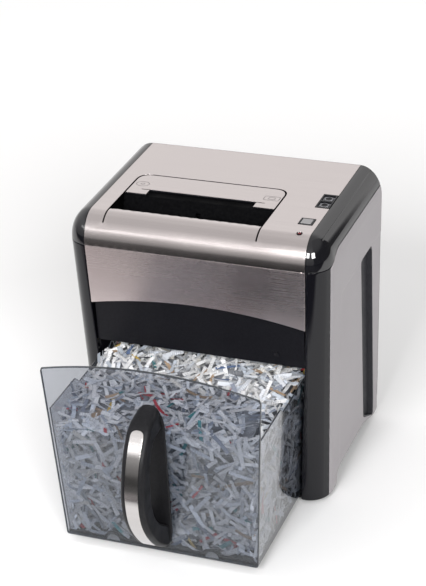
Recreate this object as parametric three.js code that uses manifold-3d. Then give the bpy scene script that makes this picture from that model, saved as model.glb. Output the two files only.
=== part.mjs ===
// Deskside paper shredder with a pull-out bin: one named mesh for each physical piece.
// Millimetres, +Z up, +Y from the bin's front towards the back, +X to the right.

import * as THREE from 'three';
import { mergeVertices } from 'three/addons/utils/BufferGeometryUtils.js';
import Module from 'manifold-3d';

const wasm = await Module();
wasm.setup();

// ---------- driving dimensions ----------

const GAP = 0.4; // clearance between pieces that touch

// Body: the front plane is y = 0 and the floor is z = 0.
const HEIGHT = 412;
const BODY_DEPTH = 259;
const HALF_WIDTH = 189.8; // at the seam under the rounded top
const SEAM_Z = 370;
const SIDE_SEAM_Z = 385.2; // the seam is higher along the sides
const TAPER = 0.031; // narrowing of each side per mm below the seam
const SHOULDER = 30.5; // run of the rounded shoulder
const NOSE_DEPTH = 35; // depth of the rounded front edge
const NOSE_RISE = HEIGHT - SEAM_Z;
const TOP_HALF = HALF_WIDTH - SHOULDER; // half width of the steel top
const SHEET = 1.2; // steel sheet
const SHELL = 3; // moulded shells
const ARC_STEPS = 8;

// Front, pillars and bay.
const PILLAR_DEPTH = 23;
const PILLAR_KINK_Z = 274;
const PILLAR_KINK_HALF = 156.8;
const PILLAR_FOOT_HALF = 142.2;
const ARCH_RISE = 16; // rise of the arched joint across the front
const FRONT_ARCH_Z = 281;
const FASCIA_Y = 5.2;
const BAY_TOP = 219.6;
const CHASSIS_Z = 222.2;
const BASE_Z = 6.4;
const BASE_TOP = 9.9;
const COVER_Y = 256;
const COVER_LOW = 34; // underside of the rear cover, above the base's rear upstand
const SIDE_LOW = 27; // lower edge of the side, between its front foot and its heel
const SIDE_HEEL = 9.6;
const BASE_HALF = 158; // the base stands in from the sides

// Bin, given where it stands when it is shut.
const BIN_OUT = 174.5; // how far the bin stands open
const BIN_BOTTOM = 10.7;
const BIN_FOOT_HALF = 140.2;
const BIN_FLARE = 0.0558; // widening of each side per mm of height
const BIN_BACK = 236;
const BIN_WALL = 2.6;
const FRONT_THICK = 4;
const FRONT_SHOULDER_Z = 274;
const FRONT_RISE = 18;
const RIM_HIGH = 209.5;
const RIM_LOW = 198.7;
const RIM_STEP_Y = [85.5, 99.5];
const RAIL_X = 72.5;
const RAIL_R = 8.6;
const TUNNEL_R = 9.6;

// Handle.
const HANDLE_REACH = 79.5;
const HANDLE_HALF = 16.5;

// Feed slot, off centre to the left.
const SLOT_X = [-135, 89];
const SLOT_MID = -23;
const THROAT_Y = [40, 91];
const SLOT_BACK = 153;
const SLOT_RADIUS = 20;
const GROOVE = 2;
const GROOVE_FRONT = 12;
const NIP_Y = 65;
const NIP_Z = 346;

// Cutting block.
const CUTTER_Z = 320;
const CUTTER_SPREAD = 38;
const FRONT_CUTTER_Y = NIP_Y - CUTTER_SPREAD / 2;
const REAR_CUTTER_Y = NIP_Y + CUTTER_SPREAD / 2;
const DISC_R = 22;
const CORE_R = 14;
const DISC_COUNT = 20;
const DISC_PITCH = 11;
const DISC_WIDTH = 5.2;
const DISC_START = -133;
const SHAFT_R = 7.7;
const BUSH_R = 11.5;
const FRAME_LEFT = -142;
const FRAME_RIGHT = 93.4;
const FRAME_THICK = 3;

// Gear train: module, teeth and place of each wheel, then the layers along x.
const SYNC = { module: 2, teeth: 19 };
const DRIVE = { module: 2, teeth: 40 };
const SECOND_SMALL = { module: 2, teeth: 12 };
const SECOND_LARGE = { module: 1.5, teeth: 40 };
const FIRST_SMALL = { module: 1.5, teeth: 12 };
const FIRST_LARGE = { module: 1, teeth: 44 };
const PINION = { module: 1, teeth: 12 };
const SYNC_LAYER = [98, 106];
const DRIVE_LAYER = [108, 118];
const SECOND_LAYER = [120, 127];
const FIRST_LAYER = [129, 135];
const GEAR_PLATE_X = 138;
const AXLE_R = 4;
const SECOND_ANGLE = THREE.MathUtils.degToRad(-15);
const FIRST_ANGLE = THREE.MathUtils.degToRad(20);
const MOTOR_ANGLE = THREE.MathUtils.degToRad(-40);
const MOTOR_R = 34;

// ---------- materials ----------

function finish(color, roughness, metalness, opacity = 1) {
  return new THREE.MeshStandardMaterial({
    color,
    roughness,
    metalness,
    opacity,
    transparent: opacity < 1,
  });
}

const STEEL = finish(0xcdc7c4, 0.32, 0.9);
const ZINC = finish(0x9a9c9e, 0.45, 0.8);
const CUTTER_STEEL = finish(0x6d6e72, 0.35, 0.9);
const GLOSS_BLACK = finish(0x16161a, 0.12, 0);
const CHARCOAL = finish(0x35353a, 0.4, 0);
const BLACK = finish(0x1b1b20, 0.5, 0);
const SILVER = finish(0xaca8ac, 0.42, 0.1);
const SMOKE = finish(0x5d6873, 0.08, 0, 0.4);
const RUBBER = finish(0x1a1a1a, 0.85, 0);
const BRONZE = finish(0xa07a45, 0.4, 0.8);
const NYLON = finish(0xe6e2d6, 0.55, 0);
const BOARD = finish(0x1f5b3a, 0.6, 0);
const LENS = finish(0xb01828, 0.1, 0, 0.8);

// ---------- solids ----------

function toSolid(geometry) {
  const bare = geometry.clone();
  bare.deleteAttribute('normal');
  bare.deleteAttribute('uv');
  const merged = mergeVertices(bare, 1e-4);
  const corners = merged.index.array;
  const kept = [];
  for (let i = 0; i < corners.length; i += 3) {
    const [a, b, c] = [corners[i], corners[i + 1], corners[i + 2]];
    if (a !== b && b !== c && a !== c) kept.push(a, b, c);
  }
  return new wasm.Manifold(new wasm.Mesh({
    numProp: 3,
    vertProperties: new Float32Array(merged.attributes.position.array),
    triVerts: new Uint32Array(kept),
  }));
}

function toGeometry(solid) {
  const mesh = solid.getMesh();
  const geometry = new THREE.BufferGeometry();
  geometry.setAttribute('position', new THREE.BufferAttribute(mesh.vertProperties, 3));
  geometry.setIndex(new THREE.BufferAttribute(mesh.triVerts, 1));
  geometry.computeVertexNormals();
  return geometry;
}

function unite(solids) {
  return solids.reduce((whole, piece) => whole.add(piece));
}

function block(x, y, z) {
  const geometry = new THREE.BoxGeometry(x[1] - x[0], y[1] - y[0], z[1] - z[0]);
  geometry.translate((x[0] + x[1]) / 2, (y[0] + y[1]) / 2, (z[0] + z[1]) / 2);
  return toSolid(geometry);
}

// An extrusion along an axis. Its outline is drawn in (y, z), (x, z) or (x, y).
const EXTRUDE_BASIS = {
  x: [[0, 1, 0], [0, 0, 1], [1, 0, 0]],
  y: [[1, 0, 0], [0, 0, 1], [0, -1, 0]],
  z: [[1, 0, 0], [0, 1, 0], [0, 0, 1]],
};

function prism(outline, axis, span, curveSegments = 5) {
  const geometry = new THREE.ExtrudeGeometry(outline, {
    depth: span[1] - span[0],
    bevelEnabled: false,
    curveSegments,
  });
  const basis = EXTRUDE_BASIS[axis].map((v) => new THREE.Vector3(...v));
  geometry.applyMatrix4(new THREE.Matrix4().makeBasis(...basis));
  const start = new THREE.Vector3();
  start[axis] = axis === 'y' ? span[1] : span[0];
  geometry.translate(start.x, start.y, start.z);
  return toSolid(geometry);
}

// A closed outline through corner points. A corner [a, b, r] is rounded by about r.
function outline(corners) {
  const shape = new THREE.Shape();
  const points = corners.map(([a, b]) => new THREE.Vector2(a, b));
  corners.forEach(([, , radius = 0], i) => {
    const here = points[i];
    const before = points[(i + points.length - 1) % points.length];
    const after = points[(i + 1) % points.length];
    const from = before.clone().sub(here).setLength(radius).add(here);
    const to = after.clone().sub(here).setLength(radius).add(here);
    if (i === 0) shape.moveTo(from.x, from.y);
    else shape.lineTo(from.x, from.y);
    if (radius > 0) shape.quadraticCurveTo(here.x, here.y, to.x, to.y);
  });
  return shape;
}

function rectangle(a, b, radius = 0) {
  return outline([
    [a[0], b[0], radius],
    [a[1], b[0], radius],
    [a[1], b[1], radius],
    [a[0], b[1], radius],
  ]);
}

// A turned piece along x: the profile is a list of [radius, x] from the axis to the axis.
function turnedX(profile, y, z, segments = 16) {
  const points = profile.map(([radius, x]) => new THREE.Vector2(radius, x));
  const geometry = new THREE.LatheGeometry(points, segments);
  geometry.rotateZ(-Math.PI / 2);
  geometry.translate(0, y, z);
  return toSolid(geometry);
}

function turnedZ(profile, x, y, segments = 16) {
  const points = profile.map(([radius, z]) => new THREE.Vector2(radius, z));
  const geometry = new THREE.LatheGeometry(points, segments);
  geometry.rotateX(Math.PI / 2);
  geometry.translate(x, y, 0);
  return toSolid(geometry);
}

function rodX(radius, span, y, z, segments = 16) {
  return turnedX([[0, span[0]], [radius, span[0]], [radius, span[1]], [0, span[1]]], y, z, segments);
}

function rodZ(radius, span, x, y, segments = 16) {
  return turnedZ([[0, span[0]], [radius, span[0]], [radius, span[1]], [0, span[1]]], x, y, segments);
}

// A closed skin over rings of the same number of points, bottom to top, convex in plan.
function loft(rings) {
  const count = rings[0].length;
  const positions = rings.flat(2);
  const index = [];
  for (let level = 0; level + 1 < rings.length; level += 1) {
    for (let i = 0; i < count; i += 1) {
      const a = level * count + i;
      const b = level * count + ((i + 1) % count);
      index.push(a, b, b + count, a, b + count, a + count);
    }
  }
  const top = (rings.length - 1) * count;
  for (let i = 1; i + 1 < count; i += 1) {
    index.push(0, i + 1, i);
    index.push(top, top + i, top + i + 1);
  }
  const geometry = new THREE.BufferGeometry();
  geometry.setAttribute('position', new THREE.Float32BufferAttribute(positions, 3));
  geometry.setIndex(index);
  return toSolid(geometry);
}

// ---------- the body's outer form ----------

function halfWidth(z) {
  return HALF_WIDTH - TAPER * Math.max(0, SEAM_Z - z);
}

function pillarInner(z) {
  const upper = (TOP_HALF + GAP - PILLAR_KINK_HALF) / (SEAM_Z - PILLAR_KINK_Z);
  const lower = (PILLAR_KINK_HALF - PILLAR_FOOT_HALF) / (PILLAR_KINK_Z - BASE_TOP);
  const slope = z > PILLAR_KINK_Z ? upper : lower;
  return PILLAR_KINK_HALF + slope * (z - PILLAR_KINK_Z);
}

// Plan ring of the body at height z. spread shrinks the rounded front and shoulders to 0.
function bodyRing(z, spread, inset, back) {
  const narrowing = HALF_WIDTH - halfWidth(z);
  const reachX = (SHOULDER - inset) * spread;
  const reachY = (NOSE_DEPTH - inset) * spread;
  const ring = [];
  for (let i = 0; i <= ARC_STEPS; i += 1) {
    const angle = (Math.PI / 2) * (i / ARC_STEPS);
    const x = TOP_HALF + reachX * Math.cos(angle) - narrowing;
    ring.push([-x, NOSE_DEPTH - reachY * Math.sin(angle), z]);
  }
  const right = ring.map(([x, y]) => [-x, y, z]).reverse();
  return [[ring[0][0], back, z], ...ring, ...right, [-ring[0][0], back, z]];
}

// The body's solid form, drawn in by inset on its front, sides and top.
function bodyForm(inset, back = BODY_DEPTH) {
  const rings = [bodyRing(0, 1, inset, back)];
  for (let i = 0; i <= ARC_STEPS; i += 1) {
    const angle = (Math.PI / 2) * (i / ARC_STEPS);
    const z = SEAM_Z + (NOSE_RISE - inset) * Math.sin(angle);
    rings.push(bodyRing(z, Math.cos(angle), inset, back));
  }
  return loft(rings);
}

function bodyShell(thickness) {
  return bodyForm(0).subtract(bodyForm(thickness, BODY_DEPTH + 5));
}

// ---------- scene graph ----------

const shredder = new THREE.Group();
const bin = new THREE.Group();
bin.position.y = -BIN_OUT;
shredder.add(bin);

function addPiece(name, solid, material, parent = shredder) {
  const mesh = new THREE.Mesh(toGeometry(solid), material);
  mesh.name = name;
  parent.add(mesh);
}

// A piece and its mirror image, named left_ and right_. make(side) builds one of them.
function addPair(name, make, material, parent = shredder) {
  addPiece(`left_${name}`, make(-1), material, parent);
  addPiece(`right_${name}`, make(1), material, parent);
}

function sided(side, low, high) {
  return side > 0 ? [low, high] : [-high, -low];
}

// ---------- outer skins ----------

// Half-space beside the steel top, bounded below by the seam, which dips at the front.
function trimRegion(side) {
  const dip = outline([
    [-5, SEAM_Z],
    [PILLAR_DEPTH, SEAM_Z, 8],
    [PILLAR_DEPTH + 26, SIDE_SEAM_Z, 16],
    [COVER_Y - GAP, SIDE_SEAM_Z],
    [COVER_Y - GAP, HEIGHT + 5],
    [-5, HEIGHT + 5],
  ]);
  return prism(dip, 'x', sided(side, TOP_HALF + GAP / 2, HALF_WIDTH + 5));
}

function slotCutout() {
  const shape = outline([
    [SLOT_X[0], THROAT_Y[0]],
    [SLOT_X[1], THROAT_Y[0]],
    [SLOT_X[1], SLOT_BACK, SLOT_RADIUS],
    [SLOT_X[0], SLOT_BACK, SLOT_RADIUS],
  ]);
  const groove = [GROOVE_FRONT, THROAT_Y[0] + 1];
  const depth = [SEAM_Z, HEIGHT + 5];
  return unite([
    prism(shape, 'z', depth),
    block([SLOT_X[0], SLOT_X[0] + GROOVE], groove, depth),
    block([SLOT_X[1] - GROOVE, SLOT_X[1]], groove, depth),
  ]);
}

// Controls on the right of the steel top.
const BEZEL_X = [138.5, TOP_HALF - GAP];
const BEZEL_Y = [110, 152];
const JOG_X = 148.7;
const JOG_YS = [121, 141];
const JOG_R = 6.2;
const POWER_X = [132, 152];
const POWER_Y = [56, 75];
const LED = { x: 143, y: 30.6, radius: 3.8 };

function controlCutouts() {
  const depth = [HEIGHT - 12, HEIGHT + 5];
  return unite([
    block([BEZEL_X[0] - GAP, TOP_HALF + 5], [BEZEL_Y[0] - GAP, BEZEL_Y[1] + GAP], depth),
    block([POWER_X[0] - GAP, POWER_X[1] + GAP], [POWER_Y[0] - GAP, POWER_Y[1] + GAP], depth),
    rodZ(LED.radius + GAP, depth, LED.x, LED.y, 16),
  ]);
}

function topPanel() {
  const half = TOP_HALF - GAP / 2;
  return bodyShell(SHEET)
    .intersect(block([-half, half], [-5, COVER_Y - GAP], [SEAM_Z, HEIGHT + 5]))
    .subtract(slotCutout())
    .subtract(controlCutouts());
}

function trimCap(side) {
  return bodyShell(SHELL).intersect(trimRegion(side));
}

// The arched joint: a parabola over the half width, from its ends up to its crown.
function archPoints(half, endZ, rise, steps = 20) {
  const points = [];
  for (let i = 0; i <= steps; i += 1) {
    const t = (2 * i) / steps - 1;
    points.push([half * t, endZ + rise * (1 - t * t)]);
  }
  return points;
}

function frontPanel() {
  const topZ = SEAM_Z - GAP;
  const half = pillarInner(FRONT_ARCH_Z) - GAP;
  const arch = archPoints(half, FRONT_ARCH_Z, ARCH_RISE);
  const topHalf = pillarInner(topZ) - 2 * GAP;
  return prism(outline([...arch, [topHalf, topZ], [-topHalf, topZ]]), 'y', [0, 1.5]);
}

const PLUNGER_X = 112;
const PLUNGER_Z = 236;
const PLUNGER_HALF = 3;

function plungerSquare(grow, depth) {
  const half = PLUNGER_HALF + grow;
  return block([PLUNGER_X - half, PLUNGER_X + half], depth, [PLUNGER_Z - half, PLUNGER_Z + half]);
}

function plungerWell(depth) {
  return plungerSquare(GAP, depth);
}

function fascia() {
  const low = BAY_TOP;
  const high = FRONT_ARCH_Z + ARCH_RISE + 6;
  const shape = outline([
    [-pillarInner(low) + GAP, low],
    [pillarInner(low) - GAP, low],
    [pillarInner(high) - 4, high],
    [-pillarInner(high) + 4, high],
  ]);
  return prism(shape, 'y', [FASCIA_Y, FASCIA_Y + SHELL]).subtract(plungerWell([0, 20]));
}

// Outline in (x, z) between the pillar's inner edge and a line width further out.
function besidePillar(low, high, shift, width) {
  const rows = [low, PILLAR_KINK_Z, high];
  const inner = rows.map((z) => [pillarInner(z) + shift, z]);
  const outer = rows.map((z) => [pillarInner(z) + shift + width, z]).reverse();
  return [...inner, ...outer];
}

function mirrored(points, side) {
  return side > 0 ? points : points.map(([x, z, r]) => [-x, z, r]).reverse();
}

function pillar(side) {
  const top = SEAM_Z - GAP;
  const band = mirrored(besidePillar(BASE_Z, top, 0, 70), side);
  const lip = mirrored(besidePillar(BASE_Z, top, 0, SHELL), side);
  const face = bodyShell(SHELL)
    .intersect(prism(outline(band), 'y', [-1, PILLAR_DEPTH - GAP / 2]));
  return face.add(prism(outline(lip), 'y', [1, 13.6]));
}

// Recess that leans back along the side, with a sloping foot over the panel's lower edge.
const RECESS_DEPTH = 8;

function recessOutline(grow) {
  return outline([
    [184.5 - grow, 37 - grow, 7],
    [162 - grow, 300],
    [162 - grow, 312 + grow, 3],
    [213 + grow, 312 + grow, 12],
    [234 + grow, 40],
    [234 + grow, 12.5 - grow, 6],
  ]);
}

function sidePanel(side) {
  const face = outline([
    [PILLAR_DEPTH + GAP / 2, BASE_Z],
    [52, BASE_Z, 6],
    [54, SIDE_LOW, 5],
    [186, SIDE_LOW, 6],
    [236, SIDE_HEEL, 6],
    [COVER_Y - GAP, SIDE_HEEL, 8],
    [COVER_Y - GAP, SIDE_SEAM_Z - GAP],
    [PILLAR_DEPTH + 26, SIDE_SEAM_Z - GAP, 16],
    [PILLAR_DEPTH + GAP / 2, SEAM_Z - GAP, 2],
  ]);
  const reach = sided(side, 100, HALF_WIDTH + 5);
  return bodyShell(SHELL)
    .intersect(prism(face, 'x', reach))
    .subtract(prism(recessOutline(0), 'x', reach));
}

function recessLiner(side) {
  const reach = sided(side, 100, HALF_WIDTH + 5);
  const wall = 2;
  const body = bodyForm(0.8)
    .subtract(bodyForm(RECESS_DEPTH + wall, BODY_DEPTH + 5))
    .intersect(prism(recessOutline(-GAP), 'x', reach));
  const hollow = bodyForm(-1)
    .subtract(bodyForm(RECESS_DEPTH, BODY_DEPTH + 5))
    .intersect(prism(recessOutline(-GAP - wall), 'x', reach));
  return body.subtract(hollow);
}

const GLAND = { x: 120, z: 60, radius: 7 };

function rearCover() {
  const slab = bodyForm(0).intersect(block([-200, 200], [COVER_Y, BODY_DEPTH], [COVER_LOW, HEIGHT]));
  const vents = [];
  for (let row = 0; row < 9; row += 1) {
    const z = 262 + row * 9;
    vents.push(block([95, 165], [COVER_Y - 2, BODY_DEPTH + 2], [z, z + 3.6]));
    vents.push(block([-165, -95], [COVER_Y - 2, BODY_DEPTH + 2], [z, z + 3.6]));
  }
  const hole = prism(rectangle(
    [GLAND.x - GLAND.radius - GAP, GLAND.x + GLAND.radius + GAP],
    [GLAND.z - GLAND.radius - GAP, GLAND.z + GLAND.radius + GAP],
    6,
  ), 'y', [COVER_Y - 2, BODY_DEPTH + 2]);
  return slab.subtract(unite([...vents, hole]));
}

function cordGland() {
  const neck = rectangle(
    [GLAND.x - GLAND.radius, GLAND.x + GLAND.radius],
    [GLAND.z - GLAND.radius, GLAND.z + GLAND.radius],
    6,
  );
  const collar = rectangle(
    [GLAND.x - GLAND.radius - 3, GLAND.x + GLAND.radius + 3],
    [GLAND.z - GLAND.radius - 3, GLAND.z + GLAND.radius + 3],
    8,
  );
  const bore = rectangle([GLAND.x - 3, GLAND.x + 3], [GLAND.z - 3, GLAND.z + 3], 2.5);
  return prism(collar, 'y', [COVER_Y - 5, COVER_Y - GAP])
    .add(prism(neck, 'y', [COVER_Y - 1, BODY_DEPTH]))
    .subtract(prism(bore, 'y', [COVER_Y - 9, BODY_DEPTH + 1]));
}

function buildSkins() {
  addPiece('top_panel', topPanel(), STEEL);
  addPair('trim_cap', trimCap, GLOSS_BLACK);
  addPiece('front_panel', frontPanel(), STEEL);
  addPiece('front_fascia', fascia(), BLACK);
  addPair('pillar', pillar, CHARCOAL);
  addPair('side_panel', sidePanel, SILVER);
  addPair('side_recess', recessLiner, BLACK);
  addPiece('rear_cover', rearCover(), CHARCOAL);
  addPiece('cord_gland', cordGland(), RUBBER);
}

// ---------- feed slot and controls ----------

function slotPlate() {
  const left = SLOT_X[0] + GROOVE;
  const right = SLOT_X[1] - GROOVE;
  const back = SLOT_BACK - GROOVE;
  const tab = 79;
  const slit = 91;
  const slitY = [104, 106];
  const shape = outline([
    [left, THROAT_Y[1]],
    [SLOT_MID - tab, THROAT_Y[1], 1],
    [SLOT_MID - tab, slitY[0]],
    [SLOT_MID - slit, slitY[0]],
    [SLOT_MID - slit, slitY[1]],
    [SLOT_MID + slit, slitY[1]],
    [SLOT_MID + slit, slitY[0]],
    [SLOT_MID + tab, slitY[0]],
    [SLOT_MID + tab, THROAT_Y[1], 1],
    [right, THROAT_Y[1]],
    [right, back, SLOT_RADIUS - GROOVE],
    [left, back, SLOT_RADIUS - GROOVE],
  ]);
  return prism(shape, 'z', [HEIGHT - 3, HEIGHT]);
}

// Funnel under the slot: a flange, two sloping walls and two ends, open at the nip.
function throatGuide() {
  const flangeTop = HEIGHT - 3 - GAP;
  const flangeZ = [flangeTop - 2.2, flangeTop];
  const wall = 2;
  const nipFront = NIP_Y - 3;
  const nipBack = NIP_Y + 3;
  const outside = outline([
    [nipFront - wall, NIP_Z],
    [nipBack + wall, NIP_Z],
    [THROAT_Y[1] + wall, flangeZ[0] + 1],
    [THROAT_Y[0] - wall, flangeZ[0] + 1],
  ]);
  const inside = outline([
    [nipFront, NIP_Z - 1],
    [nipBack, NIP_Z - 1],
    [THROAT_Y[1], flangeTop + 1],
    [THROAT_Y[0], flangeTop + 1],
  ]);
  const ends = [SLOT_X[0] - wall, SLOT_X[1] + wall];
  const lever = block([SLOT_MID - 3.5, SLOT_MID + 3.5], [NIP_Y + 3, 110], [352, 394]);
  return block([-148, 102], [38, 158], flangeZ)
    .add(prism(outside, 'x', ends))
    .subtract(prism(inside, 'x', SLOT_X))
    .subtract(lever);
}

// Feeler that the fed sheet pushes down, on a spindle behind the funnel.
const LEVER_Y = 97;
const LEVER_Z = 385;

function paperLever() {
  const arm = outline([
    [LEVER_Y - 2, LEVER_Z - 3],
    [LEVER_Y, LEVER_Z + 3, 1],
    [NIP_Y + 7, LEVER_Z - 15, 2],
    [NIP_Y + 5, LEVER_Z - 20, 2],
  ]);
  return prism(arm, 'x', [SLOT_MID - 2, SLOT_MID + 2])
    .add(rodX(3.5, [SLOT_MID - 8, SLOT_MID + 8], LEVER_Y, LEVER_Z, 16));
}

// Black bezel with one well for each of the two round buttons.
function controlBezel() {
  const half = 8.2;
  const wells = JOG_YS.map((y) => block(
    [JOG_X - half, JOG_X + half],
    [y - half, y + half],
    [HEIGHT - 2.5, HEIGHT + 5],
  ));
  const holes = JOG_YS.map((y) => rodZ(JOG_R + GAP, [HEIGHT - 20, HEIGHT + 5], JOG_X, y));
  return block(BEZEL_X, BEZEL_Y, [HEIGHT - 7, HEIGHT + 0.5])
    .subtract(unite([...wells, ...holes]));
}

// Round button with a dished top and a flange that stops it under the bezel.
function jogButton(y) {
  const top = HEIGHT - 0.6;
  const flange = HEIGHT - 7 - GAP;
  return turnedZ([
    [0, flange - 2],
    [JOG_R + 1.3, flange - 2],
    [JOG_R + 1.3, flange],
    [JOG_R, flange],
    [JOG_R, top - 0.8],
    [JOG_R - 0.8, top],
    [JOG_R - 2.4, top - 0.5],
    [0, top - 1.2],
  ], JOG_X, y, 20);
}

const POWER_RIM = 2.4;

function inset(span, by) {
  return [span[0] + by, span[1] - by];
}

function buttonFrame() {
  return block(POWER_X, POWER_Y, [HEIGHT - 7, HEIGHT + 0.5])
    .subtract(block(inset(POWER_X, POWER_RIM), inset(POWER_Y, POWER_RIM), [HEIGHT - 20, HEIGHT + 5]));
}

function powerButton() {
  const flange = HEIGHT - 7 - GAP;
  const cap = inset(POWER_X, POWER_RIM + GAP);
  const capY = inset(POWER_Y, POWER_RIM + GAP);
  return block(cap, capY, [flange - 1, HEIGHT + 0.9])
    .add(block(inset(cap, -1.2), inset(capY, -1.2), [flange - 2, flange]));
}

function ledLens() {
  const top = HEIGHT + 0.3;
  return turnedZ([
    [0, top - 9],
    [LED.radius, top - 9],
    [LED.radius, top - 1.2],
    [LED.radius * 0.7, top - 0.3],
    [0, top],
  ], LED.x, LED.y, 16);
}

// Board under the controls, with its three switches soldered on.
function controlBoard() {
  const top = HEIGHT - 20;
  const switchTop = HEIGHT - 11.8;
  const place = (x, y) => block([x - 3, x + 3], [y - 3, y + 3], [top - 0.5, switchTop]);
  const switches = JOG_YS.map((y) => place(JOG_X, y));
  const power = place((POWER_X[0] + POWER_X[1]) / 2, (POWER_Y[0] + POWER_Y[1]) / 2);
  const chip = block([114, 124], [90, 104], [top - 0.5, top + 2.4]);
  return unite([block([108, 157], [28, 156], [top - 1.6, top]), ...switches, power, chip]);
}

function buildControls() {
  addPiece('slot_plate', slotPlate(), STEEL);
  addPiece('throat_guide', throatGuide(), BLACK);
  addPiece('paper_lever', paperLever(), BLACK);
  addPiece('control_bezel', controlBezel(), BLACK);
  addPiece('reverse_button', jogButton(JOG_YS[0]), BLACK);
  addPiece('forward_button', jogButton(JOG_YS[1]), BLACK);
  addPiece('button_frame', buttonFrame(), BLACK);
  addPiece('power_button', powerButton(), SILVER);
  addPiece('led_lens', ledLens(), LENS);
  addPiece('control_board', controlBoard(), BOARD);
}

// ---------- base, bay and chassis ----------

const FOOT_PLACES = [
  ['front_left_foot', -142, 40],
  ['front_right_foot', 142, 40],
  ['rear_left_foot', -142, 230],
  ['rear_right_foot', 142, 230],
];

// Floor pan with an upstand at its back and a sill along each side that reaches out to the skin.
function basePlate() {
  const half = BASE_HALF;
  const back = COVER_Y - 3;
  const top = COVER_LOW - 1;
  const sillY = [26, 178];
  const sills = [-1, 1].flatMap((side) => [
    block(sided(side, half - SHELL, half), sillY, [BASE_Z + 1, top]),
    block(sided(side, half - SHELL, halfWidth(BASE_Z) - SHELL - 1), sillY, [top - SHELL, top]),
  ]);
  const upstand = block([-half, half], [back - SHELL, back], [BASE_Z + 1, top]);
  const pillars = [-1, 1].map((side) => block(
    sided(side, pillarInner(BASE_Z) - 2, 200),
    [0, PILLAR_DEPTH + 1],
    [0, 40],
  ));
  return unite([block([-half, half], [4.4, back], [BASE_Z, BASE_TOP]), ...sills, upstand])
    .intersect(bodyForm(SHELL + 0.8))
    .subtract(unite(pillars));
}

function rubberFoot(x, y) {
  return turnedZ([[0, 0], [11, 0], [13, 1.5], [13.5, BASE_Z - GAP], [0, BASE_Z - GAP]], x, y);
}

// Half-round rail that guides the tunnel under the bin.
function guideRail(side) {
  const shape = new THREE.Shape();
  shape.moveTo(side * RAIL_X + RAIL_R, BASE_TOP + GAP);
  shape.absarc(side * RAIL_X, BASE_TOP + GAP, RAIL_R, 0, Math.PI, false);
  return prism(shape, 'y', [12, 246], 10);
}

function bayWall(side) {
  const low = BASE_TOP + 0.6;
  const high = CHASSIS_Z - 0.8;
  const inner = (z) => pillarInner(z) + 3.6;
  const shape = outline(mirrored([
    [inner(low), low],
    [inner(low) + 2, low],
    [inner(high) + 2, high],
    [inner(high), high],
  ], side));
  return prism(shape, 'y', [14.4, 249]);
}

// Plate over the bay, with the drop opening under the cutters.
function chassis() {
  const half = halfWidth(CHASSIS_Z) - SHELL - 1;
  const notches = [-1, 1].map((side) => block(
    sided(side, half - RECESS_DEPTH, 200),
    [158, 234],
    [200, 240],
  ));
  const corners = [-1, 1].map((side) => block(
    sided(side, pillarInner(CHASSIS_Z) - 1, 200),
    [0, PILLAR_DEPTH + 1],
    [200, 240],
  ));
  return block([-half, half], [8.8, COVER_Y - 3], [CHASSIS_Z, CHASSIS_Z + SHELL])
    .intersect(bodyForm(SHELL + 0.8))
    .subtract(unite([...notches, ...corners, block([-130, 84], [28, 102], [200, 240])]));
}

function buildBody() {
  addPiece('base_plate', basePlate(), BLACK);
  FOOT_PLACES.forEach(([name, x, y]) => addPiece(name, rubberFoot(x, y), RUBBER));
  addPair('guide_rail', guideRail, NYLON);
  addPair('bay_wall', bayWall, BLACK);
  addPiece('chassis_plate', chassis(), BLACK);
}

// ---------- cutting block ----------

// Cutting disc: a round outline with hooked teeth, which cross-cut the strips.
function discOutline(phase) {
  const teeth = 4;
  const steps = [[0, DISC_R], [0.45, DISC_R - 0.8], [0.92, DISC_R - 2.6]];
  const shape = new THREE.Shape();
  for (let tooth = 0; tooth < teeth; tooth += 1) {
    steps.forEach(([part, radius]) => {
      const angle = phase + ((tooth + part) / teeth) * 2 * Math.PI;
      const y = radius * Math.cos(angle);
      const z = radius * Math.sin(angle);
      if (tooth === 0 && part === 0) shape.moveTo(y, z);
      else shape.lineTo(y, z);
    });
  }
  return shape;
}

// Shaft with its core and discs. The teeth are staggered from disc to disc.
function cutter(y, shift, shaftEnd) {
  const first = DISC_START - 0.5;
  const last = DISC_START + DISC_COUNT * DISC_PITCH;
  const shaft = turnedX([
    [0, -149],
    [SHAFT_R, -149],
    [SHAFT_R, first],
    [CORE_R, first],
    [CORE_R, last],
    [SHAFT_R, last],
    [SHAFT_R, shaftEnd],
    [0, shaftEnd],
  ], y, CUTTER_Z, 12);
  const discs = [];
  for (let i = 0; i < DISC_COUNT; i += 1) {
    const x = DISC_START + shift + i * DISC_PITCH;
    const disc = prism(discOutline((i * Math.PI) / 10), 'x', [x, x + DISC_WIDTH]);
    discs.push(disc.translate(0, y, CUTTER_Z));
  }
  return unite([shaft, ...discs]);
}

// Comb that strips the cuttings out of one cutter's gaps, on its outer side.
function stripper(cutterY, shift, outward) {
  const reach = CORE_R + 0.6;
  const barNear = DISC_R + 0.5;
  const along = (a, b) => (outward > 0 ? [cutterY + a, cutterY + b] : [cutterY - b, cutterY - a]);
  const height = [CUTTER_Z - 14, CUTTER_Z + 14];
  const length = [FRAME_LEFT + FRAME_THICK + GAP, FRAME_RIGHT - GAP];
  const pieces = [block(length, along(barNear, barNear + 4), height)];
  for (let i = 0; i + 1 < DISC_COUNT; i += 1) {
    const x = DISC_START + shift + i * DISC_PITCH + DISC_WIDTH + 0.5;
    const finger = [x, x + DISC_PITCH - DISC_WIDTH - 1];
    pieces.push(block(finger, along(reach, barNear + 1), height));
  }
  return unite(pieces);
}

function bush(x, y) {
  const profile = [
    [SHAFT_R + 0.3, x[0]],
    [BUSH_R, x[0]],
    [BUSH_R, x[1]],
    [SHAFT_R + 0.3, x[1]],
    [SHAFT_R + 0.3, x[0]],
  ];
  return turnedX(profile, y, CUTTER_Z);
}

function boreX(radius, [y, z]) {
  return rodX(radius, [FRAME_LEFT - 20, GEAR_PLATE_X + 20], y, z);
}

// ---------- gear train ----------

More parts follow.
